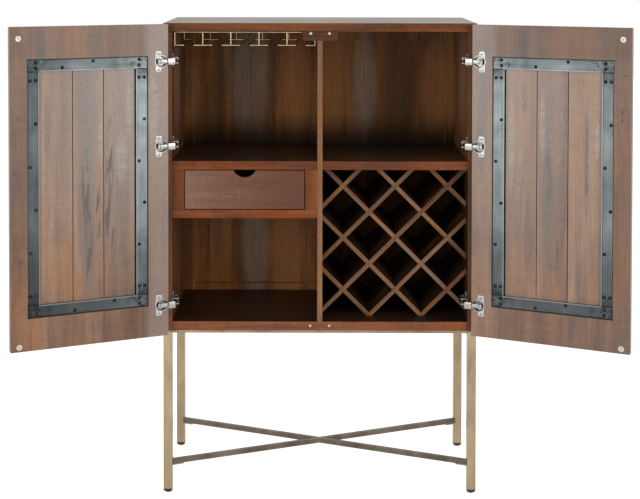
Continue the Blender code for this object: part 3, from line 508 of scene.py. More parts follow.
def metal(name, tones, rough, grain, brushed=300, plug=0.0):
    """Worn metal: cloudy tone, fine brushing and a sheen that varies with both, dark up to a plug's top."""
    look = Look(name, metallic=1.0)
    place = look.place()
    cloud = look.ranged(look.noise(place, grain, 4, 0.6, 0.3), 0.3, 0.7, 0.1, 0.9)
    brush = look.ranged(look.noise(place, brushed, 3, 0.6), 0.3, 0.7, -0.15, 0.15)
    value = look.plus(cloud, brush)
    look.colour = look.ramp(value, list(zip((0.0, 0.5, 1.0), tones)))
    if plug:
        low = look.smooth(look.split(place)[2], plug + 0.001, plug - 0.001, 0.0, 0.9)
        look.coat(low, (0.03, 0.027, 0.024))
    return look.finish(look.ranged(value, 0, 1, rough[1], rough[0]))


# How bright each door's iron is painted by its hinge edge and by its meeting edge, a painted reflection of
# the softboxes
IRON_REFLECTION_LEVEL = {"left": (1.38, 0.6), "right": (1.2, 1.1)}
IRON_TONES = ((0.0, (0.066, 0.078, 0.082)), (0.5, (0.118, 0.134, 0.138)), (1.0, (0.185, 0.208, 0.21)))


def blackened_iron(side):
    """Rolled bars, brushed along their length and heat-marked at the corners, with a pale line at the rim's
    edge, partly polish and partly a painted highlight; painted reflection levels and painted shade by the
    recess walls.
    """
    look = Look(side + "_iron", metallic=1.0)
    across, deep, up = look.door(side)
    low, high = (corner.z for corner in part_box(side + "_iron_frame"))
    off_side = look.less((RECESS[1] - RECESS[0]) / 2, look.off(across, (RECESS[0] + RECESS[1]) / 2))
    off_end = look.less((high - low) / 2, look.off(up, (low + high) / 2))
    lying = look.maths("LESS_THAN", off_end, IRON_WIDTH + 0.0002)
    within = look.maths("MINIMUM", off_side, off_end)
    corner = look.smooth(look.maths("MAXIMUM", off_side, off_end), 0.04, 0.082, 1.0, 0.0)
    flat = look.joined(across, 0.0, up)
    brush = look.mix(lying, look.noise(flat, (420, 1, 5), 4, 0.6), look.noise(flat, (5, 1, 420), 4, 0.6))
    whole = look.joined(across, deep, up)
    cloud = look.noise(whole, (10, 10, 7), 4, 0.6, 0.4)
    patch = look.noise(whole, 85, 3, 0.55, 0.8)
    value = look.plus(look.ranged(cloud, 0.3, 0.7, 0.2, 0.8), look.ranged(brush, 0.3, 0.7, -0.24, 0.24))
    look.colour = look.ramp(value, IRON_TONES)
    look.dim(look.ranged(across, *RECESS, *IRON_REFLECTION_LEVEL[side]))
    scale = look.times(corner, look.smooth(patch, 0.48, 0.62, 0.0, 0.6))
    look.coat(scale, (0.028, 0.03, 0.03))
    bright = look.times(corner, look.smooth(patch, 0.42, 0.34, 0.0, 0.3))
    look.coat(bright, (0.3, 0.3, 0.285))
    end = look.smooth(off_end, IRON_WIDTH, IRON_WIDTH + 0.055, 0.55, 0.0)
    look.coat(look.times(end, look.less(1.0, lying)), (0.03, 0.034, 0.035))
    joint = look.smooth(look.off(off_end, IRON_WIDTH + 0.0006), 0.0008, 0.0018, 0.92, 0.0)
    joint = look.times(joint, look.maths("LESS_THAN", off_side, IRON_WIDTH))
    look.coat(joint, (0.01, 0.01, 0.01))
    # Painted reflection: the uprights brightest at mid height, the lying bars dimmer, all darker towards the
    # foot
    middle = look.smooth(look.off(up, 0.98), 0.05, 0.3, 1.1, 0.94)
    level = look.smooth(up, low + 0.36, low, 1.0, 0.66)
    look.dim(look.times(level, look.mix_value(lying, middle, 0.8)))
    # A pale line at the rim's edge, partly polish and partly a painted highlight
    rim = IRON_WIDTH - IRON_RIM
    rim = look.smooth(within, rim - 0.0003, rim + 0.0003, 0.0, 0.38)
    look.coat(rim, (0.3, 0.32, 0.315))
    # Painted shade along the recess walls, widest under the top wall
    within = look.maths("MINIMUM", within, look.times(look.less(high, up), 0.55))
    recess_shade = look.smooth(within, 0.0006, 0.0034, 0.92, 0.0)
    look.coat(recess_shade, (0.016, 0.015, 0.014))
    look.bump(look.plus(patch, look.times(brush, 0.6)), 0.00012, 0.4)
    return look.finish(look.ranged(value, 0, 1, 0.46, 0.3))


def nylon():
    look = Look("black_nylon")
    speck = look.noise(look.place(), 900, 2)
    look.bump(speck, 0.0001, 0.4)
    look.colour = look.ramp(speck, [(0.3, (0.012, 0.012, 0.013)), (0.7, (0.03, 0.03, 0.032))])
    return look.finish(0.5)


# Near-black iron, partly oxide and partly painted shade, for the bars' side walls and for the painted shadow
# strips
iron_wall_oxide_and_shade = metal(
    "iron_wall_oxide_and_shade", ((0.008, 0.008, 0.009), (0.02, 0.021, 0.022), (0.05, 0.052, 0.054)), (0.4, 0.55), 30
)
rivet_black = metal(
    "rivet", ((0.012, 0.015, 0.019), (0.034, 0.042, 0.05), (0.1, 0.12, 0.13)), (0.24, 0.42), 90
)
nickel = metal(
    "nickel", ((0.27, 0.265, 0.25), (0.37, 0.365, 0.345), (0.48, 0.475, 0.45)), (0.28, 0.42), 150
)
link_nickel = metal(
    "link_nickel", ((0.14, 0.135, 0.125), (0.32, 0.31, 0.287), (0.52, 0.505, 0.472)), (0.18, 0.34), 260
)
disc_nickel = metal(
    "disc_nickel", ((0.36, 0.325, 0.29), (0.47, 0.43, 0.385), (0.6, 0.555, 0.5)), (0.34, 0.5), 260
)
# Near-black steel for the screw heads' crosses: painted shade
slot_shade = metal(
    "hinge_shadow", ((0.01, 0.01, 0.01), (0.03, 0.029, 0.028), (0.09, 0.088, 0.082)), (0.35, 0.5), 90
)
steel_mid = metal(
    "hinge_inside", ((0.09, 0.087, 0.082), (0.26, 0.253, 0.24), (0.46, 0.45, 0.425)), (0.22, 0.4), 170
)
brass = metal(
    "antique_brass", ((0.225, 0.165, 0.098), (0.33, 0.252, 0.158), (0.415, 0.328, 0.212)),
    (0.28, 0.42), (16, 16, 7), (500, 500, 25), LEG_PLUG_TOP,
)
# A darker copy of the brass for the ring under the cabinet: painted shade
ring_brass_shaded = metal(
    "ring_brass_shaded", ((0.16, 0.115, 0.072), (0.255, 0.19, 0.128), (0.34, 0.262, 0.178)),
    (0.3, 0.44), 14, (30, 500, 500),
)
# A still darker copy of the brass for the stretcher: painted shade
bar_brass_shaded = metal(
    "bar_brass_shaded", ((0.075, 0.06, 0.04), (0.125, 0.102, 0.072), (0.185, 0.152, 0.108)),
    (0.3, 0.44), 20, (30, 500, 500),
)
bright_brass = metal(
    "bright_brass", ((0.3, 0.215, 0.115), (0.44, 0.335, 0.195), (0.58, 0.46, 0.29)), (0.22, 0.36), 50
)

case_up = wood("case_up", glued(UP, (3.0, 1.0, 0.2), 0.095), SIDE_REDS, shine=0.4, marks_and_painted_light=side_greys_and_shade)
case_across = wood("case_across", glued(ALONG_X, (1.3, 2.0, 0.7), 0.09), TOP_BROWNS)
edge_across = wood("edge_across", glued(ALONG_X, (2.3, 0.4, 5.1), 0.09), REDS, 0.9, 0.1, edge_marks)
stile_up = wood("stile_up", glued(UP, (3.4, 1.7, 0.9), 0.05), REDS, 0.9, 0.1, stile_shade)
inside_up = wood("inside_up", glued(UP, (5.0, 0.3, 1.4), 0.075), INSIDES, 1.1, 0.08)
back_up = wood("back_up", glued(UP, (5.0, 0.3, 1.4), 0.075), INSIDES, shine=0.08, marks_and_painted_light=back_marks_and_shading)
# The back frame's opening walls in a paler copy of the wood: painted highlight
back_edge_highlight = wood("back_edge_highlight", glued(UP, (1.0, 0.3, 1.4), 0.2), EDGE_HIGHLIGHT_BROWNS, 0.5, 0.1)
# The inside boards' horizontal faces in a much darker copy of the inside wood: painted shade
inside_across_shaded = wood("inside_across_shaded", glued(ALONG_X, (0.6, 4.0, 2.2), 0.1), SHADED_INSIDES, shine=0.12)
divider_look = wood("divider", glued(UP, (7.7, 1.1, 0.1), 0.3), DIVIDER_BROWNS, 0.6, 0.3)
drawer_look = wood("drawer", glued(ALONG_X, (9.1, 2.5, 1.9), 0.3), BROWNS, 0.6, 0.3, drawer_marks)
# The plank grooves' faces in near-black wood: painted shade
groove_shade = wood("groove", glued(), GROOVE_SHADES, shine=0.05)
black_nylon = nylon()


def dress(node, look):
    """Gives all of a CAD node's faces one material."""
    data = nodes[node].data
    data.materials.clear()
    data.materials.append(look)
    for face in data.polygons:
        face.material_index = 0


def dress_where(node, look, chosen):
    """Gives the faces that chosen(face) picks another material."""
    data = nodes[node].data
    data.materials.append(look)
    for face in data.polygons:
        if chosen(face):
            face.material_index = len(data.materials) - 1


def dress_front(node, look, front=CASE_FRONT, slack=0.002):
    """Gives the faces of a node's front edge another material."""
    dress_where(node, look, lambda face: face.center.y < front + slack)


def opening_wall(face):
    """Whether a face of the back frame is a wall of its openings or of its outline."""
    return abs(face.normal.y) < 0.5 and 0.001 < face.center.y - BACK_FACE < 0.03


dress("top_panel", case_across)
dress_front("top_panel", edge_across)
dress("bottom_panel", case_across)
dress_where("bottom_panel", inside_across_shaded, lambda face: abs(face.normal.z) > 0.5)
dress_front("bottom_panel", edge_across)
for name in ("left_side", "right_side"):
    dress(name, case_up)
for name in ("left_shelf", "right_shelf", "drawer_deck"):
    dress(name, inside_across_shaded)
    dress_front(name, edge_across)
dress("centre_divider", inside_up)
dress_front("centre_divider", divider_look)
dress("catch_block", edge_across)
dress("back_frame", back_up)
# The openings' walls get the paler wood, a painted highlight
dress_where("back_frame", back_edge_highlight, opening_wall)
dress("back_sheet", back_up)
for name in ("left_drawer_guide", "right_drawer_guide"):
    dress(name, inside_up)
    dress_front(name, stile_up)
dress("drawer_front", drawer_look)
dress("drawer_box", inside_across_shaded)
dress("drawer_bottom", inside_across_shaded)
for slope, turn in (("falling", 1), ("rising", -1)):
    tilt = (0, turn * math.radians(45), 0)
    # The slats' sides in a near-black copy of the wood, painted shade in the lattice's cells
    slat_in_shade = wood(slope + "_slat", glued(tilt, (1, 2, 3)), SHADED_SLAT_SIDES, shine=0.15)
    slat_edge = wood(slope + "_slat_edge", glued(tilt, (4, 2, 3), 0.011), SLAT_EDGES, 1.5, 0.12)
    for order in range(1, 6):
        name = f"lattice_{slope}_{order}"
        dress(name, slat_in_shade)
        dress_front(name, slat_edge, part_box(name)[0].y, 0.0005)
dress("stemware_rack", bright_brass)
dress("stand_frame", brass)
# The ring's faces get the darker brass, painted shade
dress_where("stand_frame", ring_brass_shaded, lambda face: face.center.z > RING_FOOT)
dress("stretcher", bar_brass_shaded)
for row in ("front", "back"):
    for side in SIDES:
        dress(f"{row}_{side}_foot", black_nylon)


def dress_door(side):
    """The door's wood, with its grooves in painted shade, and its iron, with side walls that are partly
    oxide and partly painted shade.
    """
    back = door_place(side).inverted()
    turn = back.to_3x3()
    stile = door_marks_and_sheen(side, FRAME_CLEAR[side])
    board = door_marks_and_sheen(side, PLANKS_CLEAR)
    frame_look = wood(side + "_door", door_boards(side), FRAME_BROWNS, marks_and_painted_light=stile)
    plank_look = wood(side + "_plank", door_planks(side), DOOR_BROWNS, 1.1, 0.6, board)

    def in_groove(face):
        spot = back @ face.center
        inside = RECESS[0] + 0.001 < EDGE - SIDES[side] * spot.x < RECESS[1] - 0.001
        return inside and RECESS_DEPTH + 0.0002 < FACE - spot.y < 2 * RECESS_DEPTH - 0.0002

    dress(side + "_door_frame", frame_look)
    dress(side + "_door_planks", plank_look)
    dress_where(side + "_door_planks", groove_shade, in_groove)
    dress(side + "_iron_frame", blackened_iron(side))
    # The iron's side walls: partly oxide and partly painted shade
    dress_where(side + "_iron_frame", iron_wall_oxide_and_shade, lambda face: abs((turn @ face.normal).y) < 0.5)
    dress(side + "_door_pull", brass)


def dress_hinge(side, place):
    """Nickel, and the brighter one inside the arm's channel."""
    for part in ("cup", "link", "arm"):
        dress(f"{side}_{place}_hinge_{part}", nickel)
    arm = f"{side}_{place}_hinge_arm"
    low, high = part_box(arm)
    middle = (low.z + high.z) / 2
    dress_where(arm, link_nickel, lambda face: abs(face.center.z - middle) < COVER_HALF)


for side in SIDES:
    dress_door(side)
    for place in PLACES:
        dress_hinge(side, place)


# Mesh helpers


def placed(name, data):
    """A new object in the scene."""
    made = bpy.data.objects.new(name, data)
    bpy.context.scene.collection.objects.link(made)
    return made


def keep(shape, part, place=None):
    """Moves a finished form into place and adds it to the shape."""
    if place:
        bmesh.ops.transform(part, matrix=place, verts=part.verts)
    bmesh.ops.recalc_face_normals(part, faces=part.faces)
    passing = bpy.data.meshes.new("passing")
    part.to_mesh(passing)
    part.free()
    shape.from_mesh(passing)
    bpy.data.meshes.remove(passing)


def piece(name, body, look, build, place=None, replaces=()):
    """A mesh made by build(shape) in the given frame, that rides on a CAD body."""
    shape = bmesh.new()
    build(shape)
    if place:
        bmesh.ops.transform(shape, matrix=place, verts=shape.verts)
    data = bpy.data.meshes.new(name)
    shape.to_mesh(data)
    shape.free()
    data.materials.append(look)
    data.shade_smooth()
    data.set_sharp_from_angle(angle=SHARP_ANGLE)
    made = placed(name, data)
    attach(made, body)
    if replaces:
        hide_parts(*replaces)


def turned(shape, profile, place, steps=24):
    """A form turned about the place's z axis from (radius, height) points."""
    part = bmesh.new()
    points = [part.verts.new((radius, 0, height)) for radius, height in profile]
    edges = [part.edges.new(pair) for pair in zip(points, points[1:])]
    bmesh.ops.spin(part, geom=points + edges, cent=(0, 0, 0), axis=(0, 0, 1), angle=math.tau, steps=steps)
    bmesh.ops.remove_doubles(part, verts=part.verts, dist=0.00001)
    keep(shape, part, place)


def slab(shape, outline, thickness, place=None, soft=0.0003):
    """A flat outline given a thickness along z, with softened rims."""
    part = bmesh.new()
    face = part.faces.new([part.verts.new((x, y, 0)) for x, y in outline])
    risen = bmesh.ops.extrude_face_region(part, geom=[face])["geom"]
    lifted = [corner for corner in risen if isinstance(corner, bmesh.types.BMVert)]
    bmesh.ops.translate(part, vec=(0, 0, thickness), verts=lifted)
    rims = [edge for edge in part.edges if abs(edge.verts[0].co.z - edge.verts[1].co.z) < 1e-7]
    bmesh.ops.bevel(part, geom=rims, offset=soft, segments=2, profile=0.6, affect="EDGES")
    keep(shape, part, place)


def block(shape, x, y, z, place=None, soft=0.0003):
    """A softened bar between two values on each axis."""
    (x0, x1), (y0, y1), (z0, z1) = sorted(x), sorted(y), sorted(z)
    lift = Matrix.Translation((0, 0, z0))
    slab(shape, [(x0, y0), (x1, y0), (x1, y1), (x0, y1)], z1 - z0, (place or Matrix()) @ lift, soft)


def facing(point, direction):
    """A frame at a point with its z axis along a direction."""
    return Matrix.Translation(point) @ Vector(direction).to_track_quat("Z", "Y").to_matrix().to_4x4()


def risen(point, up):
    """A frame at a height above a point."""
    return Matrix.Translation(point + Vector((0, 0, up)))


def arc(centre, radius, start, end, steps):
    angles = [math.radians(start + (end - start) * n / steps) for n in range(steps + 1)]
    return [(centre[0] + radius * math.cos(a), centre[1] + radius * math.sin(a)) for a in angles]


def rounded(x, y, radius, steps=5):
    """A rectangle's outline with round corners."""
    (left, right), (low, high) = sorted(x), sorted(y)
    left, right, low, high = left + radius, right - radius, low + radius, high - radius
    points = []
    for x, y, start in ((right, low, -90), (right, high, 0), (left, high, 90), (left, low, 180)):
        points += arc((x, y), radius, start, start + 90, steps)
    return points


def dome(radius, height, sink=0.0003):
    """The profile of a domed head, from its crown down."""
    angles = [math.radians(angle) for angle in range(75, -1, -15)]
    rise = [(radius * math.cos(a), height * math.sin(a)) for a in angles]
    return [(0, height)] + rise + [(radius, -sink), (0, -sink)]


def disc(radius, height, soft=0.0003, dish=0.0):
    """The profile of a flat or dished disc with a softened rim."""
    face = [(0, height - dish), (radius * 0.5, height - dish * 0.8), (radius - 2 * soft, height)]
    rim = [(radius - soft * 0.3, height - soft * 0.3), (radius, height - soft), (radius, 0), (0, 0)]
    return face + rim


CROSS_PROUD = 0.00015


def cross(shape, place, height, reach=0.0021):
    """The cross in a screw's head, a dark piece of painted shade."""
    half = reach * 0.17
    for turn in (0, math.pi / 2):
        spot = place @ Matrix.Rotation(turn + 0.5, 4, "Z")
        block(shape, (-reach, reach), (-half, half), (height * 0.4, height), spot, 0.00004)


def screws(name, body, heads, size, place=None):
    """Domed heads of one radius and height, with the crosses in them, dark pieces of painted shade, as their
    own piece.
    """
    radius, height = size

    def domes(shape):
        for spot in heads:
            turned(shape, dome(radius, height), spot, 20)

    def crosses(shape):
        for spot in heads:
            cross(shape, spot, height + CROSS_PROUD)

    piece(name + "_screws", body, link_nickel, domes, place)
    piece(name + "_screw_slots", body, slot_shade, crosses, place)


# Doors: rivets, dark strips of painted shade by the hinge-side iron, strike discs and pulls

RIVET_CROWN = 0.0022
RIVET_RADIUS = 0.005
RIVET_HEIGHT = 0.0027
# A dark strip along each hinge-side iron upright's inner edge: painted shade
SHADOW_STRIP_ACROSS = (-0.0004, 0.0034)
SHADOW_STRIP_RISE = (-0.0001, 0.0011)
SHADOW_STRIP_FROM_END = 0.1258
STRIKE_FROM_EDGE = 0.0235
STRIKE_FROM_TOP = 0.0325
STRIKE_FROM_FOOT = 0.014
STRIKE_RADIUS = 0.0082
STRIKE_HEIGHT = 0.0013
STRIKE_SCREW = (0.0022, 0.0005)
STRIKE_SCREW_FOOT = 0.0008
PULL_FROM_EDGE = 0.027
PULL_RADIUS = 0.005
PULL_LENGTH = 0.424
PULL_AXIS = 0.049
PULL_CENTRES = 0.392
PULL_POST = ((0, 0), (0.0066, 0), (0.0066, 0.0012), (0.006, 0.002), (0.004, 0.0024))
POST_RADIUS = 0.004
CAP_ANGLES = [math.radians(angle) for angle in range(0, 91, 15)]


def crowns(side, height):
    """Where the CAD's rivets have their crowns, in the door's own frame."""
    back = door_place(side).inverted()
    found = [back @ v.co for v in nodes[side + "_iron_frame"].data.vertices]
    return [point for point in found if abs(point.y - height) < 0.00002]


def door_details(side, sign):
    place = door_place(side)
    body = side + "_door"
    low, high = (corner.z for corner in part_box(side + "_door_frame"))
    out = (0, 1, 0)
    iron_face = FACE - IRON_DEPTH
    x = sign * (EDGE - (DOOR_WIDTH - STRIKE_FROM_EDGE))
    strikes = [Vector((x, FACE, z)) for z in (high - STRIKE_FROM_TOP, low + STRIKE_FROM_FOOT)]

    def rivets(shape):
        for crown in crowns(side, iron_face + RIVET_CROWN):
            head = facing((crown.x, iron_face, crown.z), out)
            turned(shape, dome(RIVET_RADIUS, RIVET_HEIGHT), head, 20)

    # Painted shade: a thin dark strip on the planks beside the hinge-side upright
    def shadow_strips(shape):
        foot = RECESS[0] + IRON_WIDTH
        x = [sign * (EDGE - (foot + at)) for at in SHADOW_STRIP_ACROSS]
        y = [FACE - RECESS_DEPTH + rise for rise in SHADOW_STRIP_RISE]
        block(shape, x, y, (low + SHADOW_STRIP_FROM_END, high - SHADOW_STRIP_FROM_END), soft=0.0002)

    def discs(shape):
        for strike in strikes:
            turned(shape, disc(STRIKE_RADIUS, STRIKE_HEIGHT, 0.0004, 0.0005), facing(strike, out), 32)

    def pins(shape):
        for strike in strikes:
            foot = strike + Vector((0, STRIKE_SCREW_FOOT, 0))
            turned(shape, dome(*STRIKE_SCREW), facing(foot, out), 16)

    def pull(shape):
        x = sign * (EDGE - (DOOR_WIDTH - PULL_FROM_EDGE))
        middle = (low + high) / 2
        reach = PULL_AXIS - DOOR_THICKNESS
        cap = [(PULL_RADIUS * math.sin(a), PULL_RADIUS * (1 - math.cos(a)) * 0.6) for a in CAP_ANGLES]
        bar = cap + [(radius, PULL_LENGTH - height) for radius, height in reversed(cap)]
        turned(shape, bar, Matrix.Translation((x, FACE - PULL_AXIS, middle - PULL_LENGTH / 2)), 28)
        for way in (-1, 1):
            foot = (x, FACE - DOOR_THICKNESS, middle + way * PULL_CENTRES / 2)
            post = [*PULL_POST, (POST_RADIUS, reach), (0, reach)]
            turned(shape, post, facing(foot, (0, -1, 0)), 24)

    piece(side + "_rivets", body, rivet_black, rivets, place)
    piece(side + "_iron_shadow_strip", body, iron_wall_oxide_and_shade, shadow_strips, place)
    piece(side + "_strike_discs", body, disc_nickel, discs, place)
    piece(side + "_strike_screws", body, steel_mid, pins, place)
    piece(side + "_pull_bar", body, brass, pull, place, (side + "_door_pull",))


for side, sign in SIDES.items():
    door_details(side, sign)


# Hinges: the cup's parts from its rim's middle, and the link's from its pin

CUP_FROM_EDGE = 0.0215
CUP_HOLE = 0.0163
CUP_FLOOR = -0.0105
CUP_RING = (
    (CUP_HOLE, -0.003), (CUP_HOLE, 0.001), (CUP_HOLE + 0.0005, 0.0015), (0.0184, 0.0015), (0.019, 0.001),
    (0.019, 0.0), (0.0174, 0.0), (0.0174, -0.003), (CUP_HOLE, -0.003),
)
CUP_BOWL = (
    (0, CUP_FLOOR), (0.015, CUP_FLOOR), (CUP_HOLE - 0.0001, -0.009), (CUP_HOLE - 0.0001, -0.0002),
    (0.0172, -0.0002), (0.0172, -0.0115), (0, -0.0115),
)
FLANGE = (-0.0015, 0.0175)
FLANGE_HALF = 0.03
FLANGE_CORNER = 0.0028
FLANGE_THICKNESS = 0.0012

# Each ear has a long low part and a short high one: its reach along x, and its top
EARS = (((-0.01, 0.004), 0.0012), ((0.0032, 0.01), 0.0036))
EAR_SIDES = (0.0056, 0.008)
HINGE_SCREW = (0.0037, 0.0007)
SCREW_IN = 0.008
SCREW_UP = 0.023
SCREW_FOOT = 0.001

PIN_FROM_EDGE = 0.028
PIN_RADIUS = 0.0038
PIN_HALF = 0.0052
LINK_RISE = 0.0046
LINK_HALF = 0.0025
LINK_TAIL = -0.0026
LINK_BEND = (0.038, 0.0)
LINK_END = (0.0591, -0.0329)
LINK_HEIGHT = 0.01
ELBOW = (0.0052, 0.007)
ELBOW_OUTER = 0.0062
ELBOW_HEIGHT = 0.018

# The knuckle and its web on the link's outer side: along from the bend, deep and half as high
KNUCKLE_ALONG = (-0.0138, 0.0062)
KNUCKLE = ((0.0037, 0.0084), 0.0094)
KNUCKLE_WEB = ((0.002, 0.004), 0.0046)


def hinge_height(side, place):
    low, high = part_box(f"{side}_{place}_hinge_cup")
    return (low.z + high.z) / 2


def cup_place(side, place):
    """At the cup's rim: x runs in from the hinge edge, y up and z out of the door's inner face."""
    sign = SIDES[side]
    rows = (
        (-sign, 0, 0, sign * (EDGE - CUP_FROM_EDGE)),
        (0, 0, 1, FACE + GAP),
        (0, 1, 0, hinge_height(side, place)),
        (0, 0, 0, 1),
    )
    return Matrix(rows)


def flange_outline():
    """A plate with round corners that stops at the edge of the cup's hole."""
    left, right = FLANGE[0] + FLANGE_CORNER, FLANGE[1] - FLANGE_CORNER
    top = FLANGE_HALF - FLANGE_CORNER
    hole = CUP_HOLE + 0.0006
    stop = math.degrees(math.acos(FLANGE[0] / hole))
    points = []
    for x, y, start in ((left, top, 180), (right, top, 90), (right, -top, 0), (left, -top, -90)):
        points += arc((x, y), FLANGE_CORNER, start, start - 90, 4)
    return points + arc((0, 0), hole, -stop, stop, 18)


def link_outline(sign):
    """The cranked bar from above, with a round tail behind the pin."""
    bend, end = Vector(LINK_BEND), Vector(LINK_END)
    turn = math.degrees(math.atan2(end.y - bend.y, end.x - bend.x))
    inner = LINK_HALF / math.tan(math.radians(180 + turn) / 2)
    points = arc((LINK_TAIL, 0), LINK_HALF, 270, 90, 6)
    points += arc(LINK_BEND, LINK_HALF, 90, 90 + turn, 4)
    points += arc(LINK_END, LINK_HALF, 90 + turn, turn - 90, 6)
    points.append((bend.x - inner, -LINK_HALF))
    return [(sign * x, y) for x, y in points]


def elbow_outline(sign):
    """The wider part round the bend."""
    bend, end = Vector(LINK_BEND), Vector(LINK_END)
    way = (end - bend).normalized()
    turn = math.degrees(math.atan2(way.y, way.x))
    half = LINK_HALF + 0.0001
    inner = half / math.tan(math.radians(180 + turn) / 2)
    stop = bend + way * ELBOW[1]
    square = Vector((-way.y, way.x))
    points = [(bend.x - ELBOW[0], -half), (bend.x - ELBOW[0], ELBOW_OUTER)]
    points += arc(LINK_BEND, ELBOW_OUTER, 90, 90 + turn, 5)
    points += [tuple(stop + square * ELBOW_OUTER), tuple(stop - square * half), (bend.x - inner, -half)]
    return [(sign * x, y) for x, y in points]


def hinge_details(side, sign):
    body = side + "_door"
    door = door_place(side)
    cups = [cup_place(side, place) for place in PLACES]
    cup_nodes, link_nodes = (
        tuple(f"{side}_{place}_hinge_{part}" for place in PLACES) for part in ("cup", "link")
    )
    screw_spots = [Matrix.Translation((SCREW_IN, way * SCREW_UP, SCREW_FOOT)) for way in (-1, 1)]
    heads = [cup @ spot for cup in cups for spot in screw_spots]

    def flanges(shape):
        for cup in cups:
            slab(shape, flange_outline(), FLANGE_THICKNESS, cup, 0.00025)
            turned(shape, CUP_RING, cup, 40)

    def bowls(shape):
        for cup in cups:
            turned(shape, CUP_BOWL, cup, 40)
            for way in (-1, 1):
                for along, top in EARS:
                    block(shape, along, [way * at for at in EAR_SIDES], (CUP_FLOOR, top), cup)

    def links(shape):
        along = [sign * (LINK_BEND[0] + reach) for reach in KNUCKLE_ALONG]
        for place in PLACES:
            pin = Vector((sign * (EDGE - PIN_FROM_EDGE), FACE + LINK_RISE, hinge_height(side, place)))
            slab(shape, link_outline(sign), LINK_HEIGHT, risen(pin, -LINK_HEIGHT / 2), 0.0006)
            slab(shape, elbow_outline(sign), ELBOW_HEIGHT, risen(pin, -ELBOW_HEIGHT / 2), 0.0018)
            turned(shape, disc(PIN_RADIUS, 2 * PIN_HALF, 0.0005), risen(pin, -PIN_HALF), 24)
            for (deep, half), soft in ((KNUCKLE, 0.0016), (KNUCKLE_WEB, 0.0003)):
                block(shape, along, deep, (-half, half), risen(pin, 0), soft)

    piece(side + "_hinge_flanges", body, nickel, flanges, door, cup_nodes)
    piece(side + "_hinge_bowls", body, steel_mid, bowls, door)
    screws(side + "_hinge", body, heads, HINGE_SCREW, door)
    piece(side + "_hinge_bars", side + "_hinge_links", link_nickel, links, door, link_nodes)


# Arms: sunk from the arm's face towards the wall, and back from its front

ARM_OFF_WALL = 0.02
COVER_SUNK = 0.0072
COVER_THICKNESS = 0.0014
COVER_BACK = (0.033, -0.0068)
CHEEK_SUNK = (0.0005, 0.017)
CHEEK_BACK = (0.0004, 0.0125)
CHEEK_UP = (0.0066, 0.0092)
BOSS_SUNK = 0.012
BOSS_BACK = 0.044
BOSS_UP = 0.0012
BOSS = (
    (0, 0.0024), (0.0034, 0.0024), (0.0042, 0.005), (0.0054, 0.006), (0.007, 0.0056), (0.0077, 0.0044),
    (0.0077, 0), (0, 0),
)
ARM_SCREW = (0.0038, 0.0012)
COVER_SCREW_BACK = 0.0425
WING_SCREW_BACK = 0.0365
WING_SCREW_UP = 0.0155
WING_FACE = 0.0021


def arm_details(side, sign):
    """The cover and the ring sunk in each channel, the cheeks by its front, and its three screws."""
    boxes = [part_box(f"{side}_{place}_hinge_arm") for place in PLACES]
    arms = [(low.y, high.y, (low.z + high.z) / 2) for low, high in boxes]
    wall = max(abs(corner.x) for corner in boxes[0])
    face = wall - ARM_OFF_WALL
    heads = []
    for front, back, middle in arms:
        heads.append((sign * (face + COVER_SUNK + 0.0002), front + COVER_SCREW_BACK, middle))
        for way in (-1, 1):
            heads.append((sign * (wall - WING_FACE), front + WING_SCREW_BACK, middle + way * WING_SCREW_UP))
    heads = [facing(head, (-sign, 0, 0)) for head in heads]

    def covers(shape):
        x = (sign * (face + COVER_SUNK), sign * (face + COVER_SUNK + COVER_THICKNESS))
        for front, back, middle in arms:
            y = (front + COVER_BACK[0], back + COVER_BACK[1])
            block(shape, x, y, (middle - COVER_HALF, middle + COVER_HALF), soft=0.0004)

    def cheeks(shape):
        x = [sign * (face + sunk) for sunk in CHEEK_SUNK]
        for front, back, middle in arms:
            y = [front + at for at in CHEEK_BACK]
            for way in (-1, 1):
                block(shape, x, y, [middle + way * up for up in CHEEK_UP], soft=0.0008)

    def bosses(shape):
        for front, back, middle in arms:
            spot = (sign * (face + BOSS_SUNK), front + BOSS_BACK, middle + BOSS_UP)
            turned(shape, BOSS, facing(spot, (0, -1, 0)), 28)

    piece(side + "_arm_covers", "cabinet", nickel, covers)
    piece(side + "_arm_cheeks", "cabinet", nickel, cheeks)
    piece(side + "_arm_bosses", "cabinet", nickel, bosses)
    screws(side + "_arm", "cabinet", heads, ARM_SCREW)


for side, sign in SIDES.items():
    hinge_details(side, sign)
    arm_details(side, sign)


# Magnets in the catch block, and the catch plates on the bottom board's edge

MAGNET_ACROSS = 0.027
MAGNET_UP = 1.348
PLATE_ACROSS = 1.025 * MAGNET_ACROSS
PLATE_UP = 0.493
MAGNET_RADIUS = 0.0041
PLATE_RADIUS = 0.0036

# The height, soft rim and dish of both
MAGNET_PROFILE = (0.0006, 0.0002, 0.0002)


def magnets(shape):
    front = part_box("catch_block")[0].y
    for way in (-1, 1):
        magnet = (way * MAGNET_ACROSS, front, MAGNET_UP)
        plate = (way * PLATE_ACROSS, CASE_FRONT, PLATE_UP)
        for spot, radius in ((magnet, MAGNET_RADIUS), (plate, PLATE_RADIUS)):
            turned(shape, disc(radius, *MAGNET_PROFILE), facing(spot, (0, -1, 0)))


piece("magnets", "cabinet", disc_nickel, magnets)


# Stemware rack: one round wire, with a loop under each pair of hangers

WIRE = 0.002
WIRE_IN = WIRE + 0.0015
WIRE_FOOT = WIRE + 0.0012
RACK_SLOTS = 5
RACK_CORNER = 0.004
LOOP_WIDTH = 0.059
LOOP_CORNER = 0.0045
LOOP_PAST = 0.0006


def wire(data, points, closed=False):
    line = data.splines.new("POLY")
    line.points.add(len(points) - 1)
    for knot, point in zip(line.points, points):
        knot.co = (*point, 1)
    line.use_cyclic_u = closed


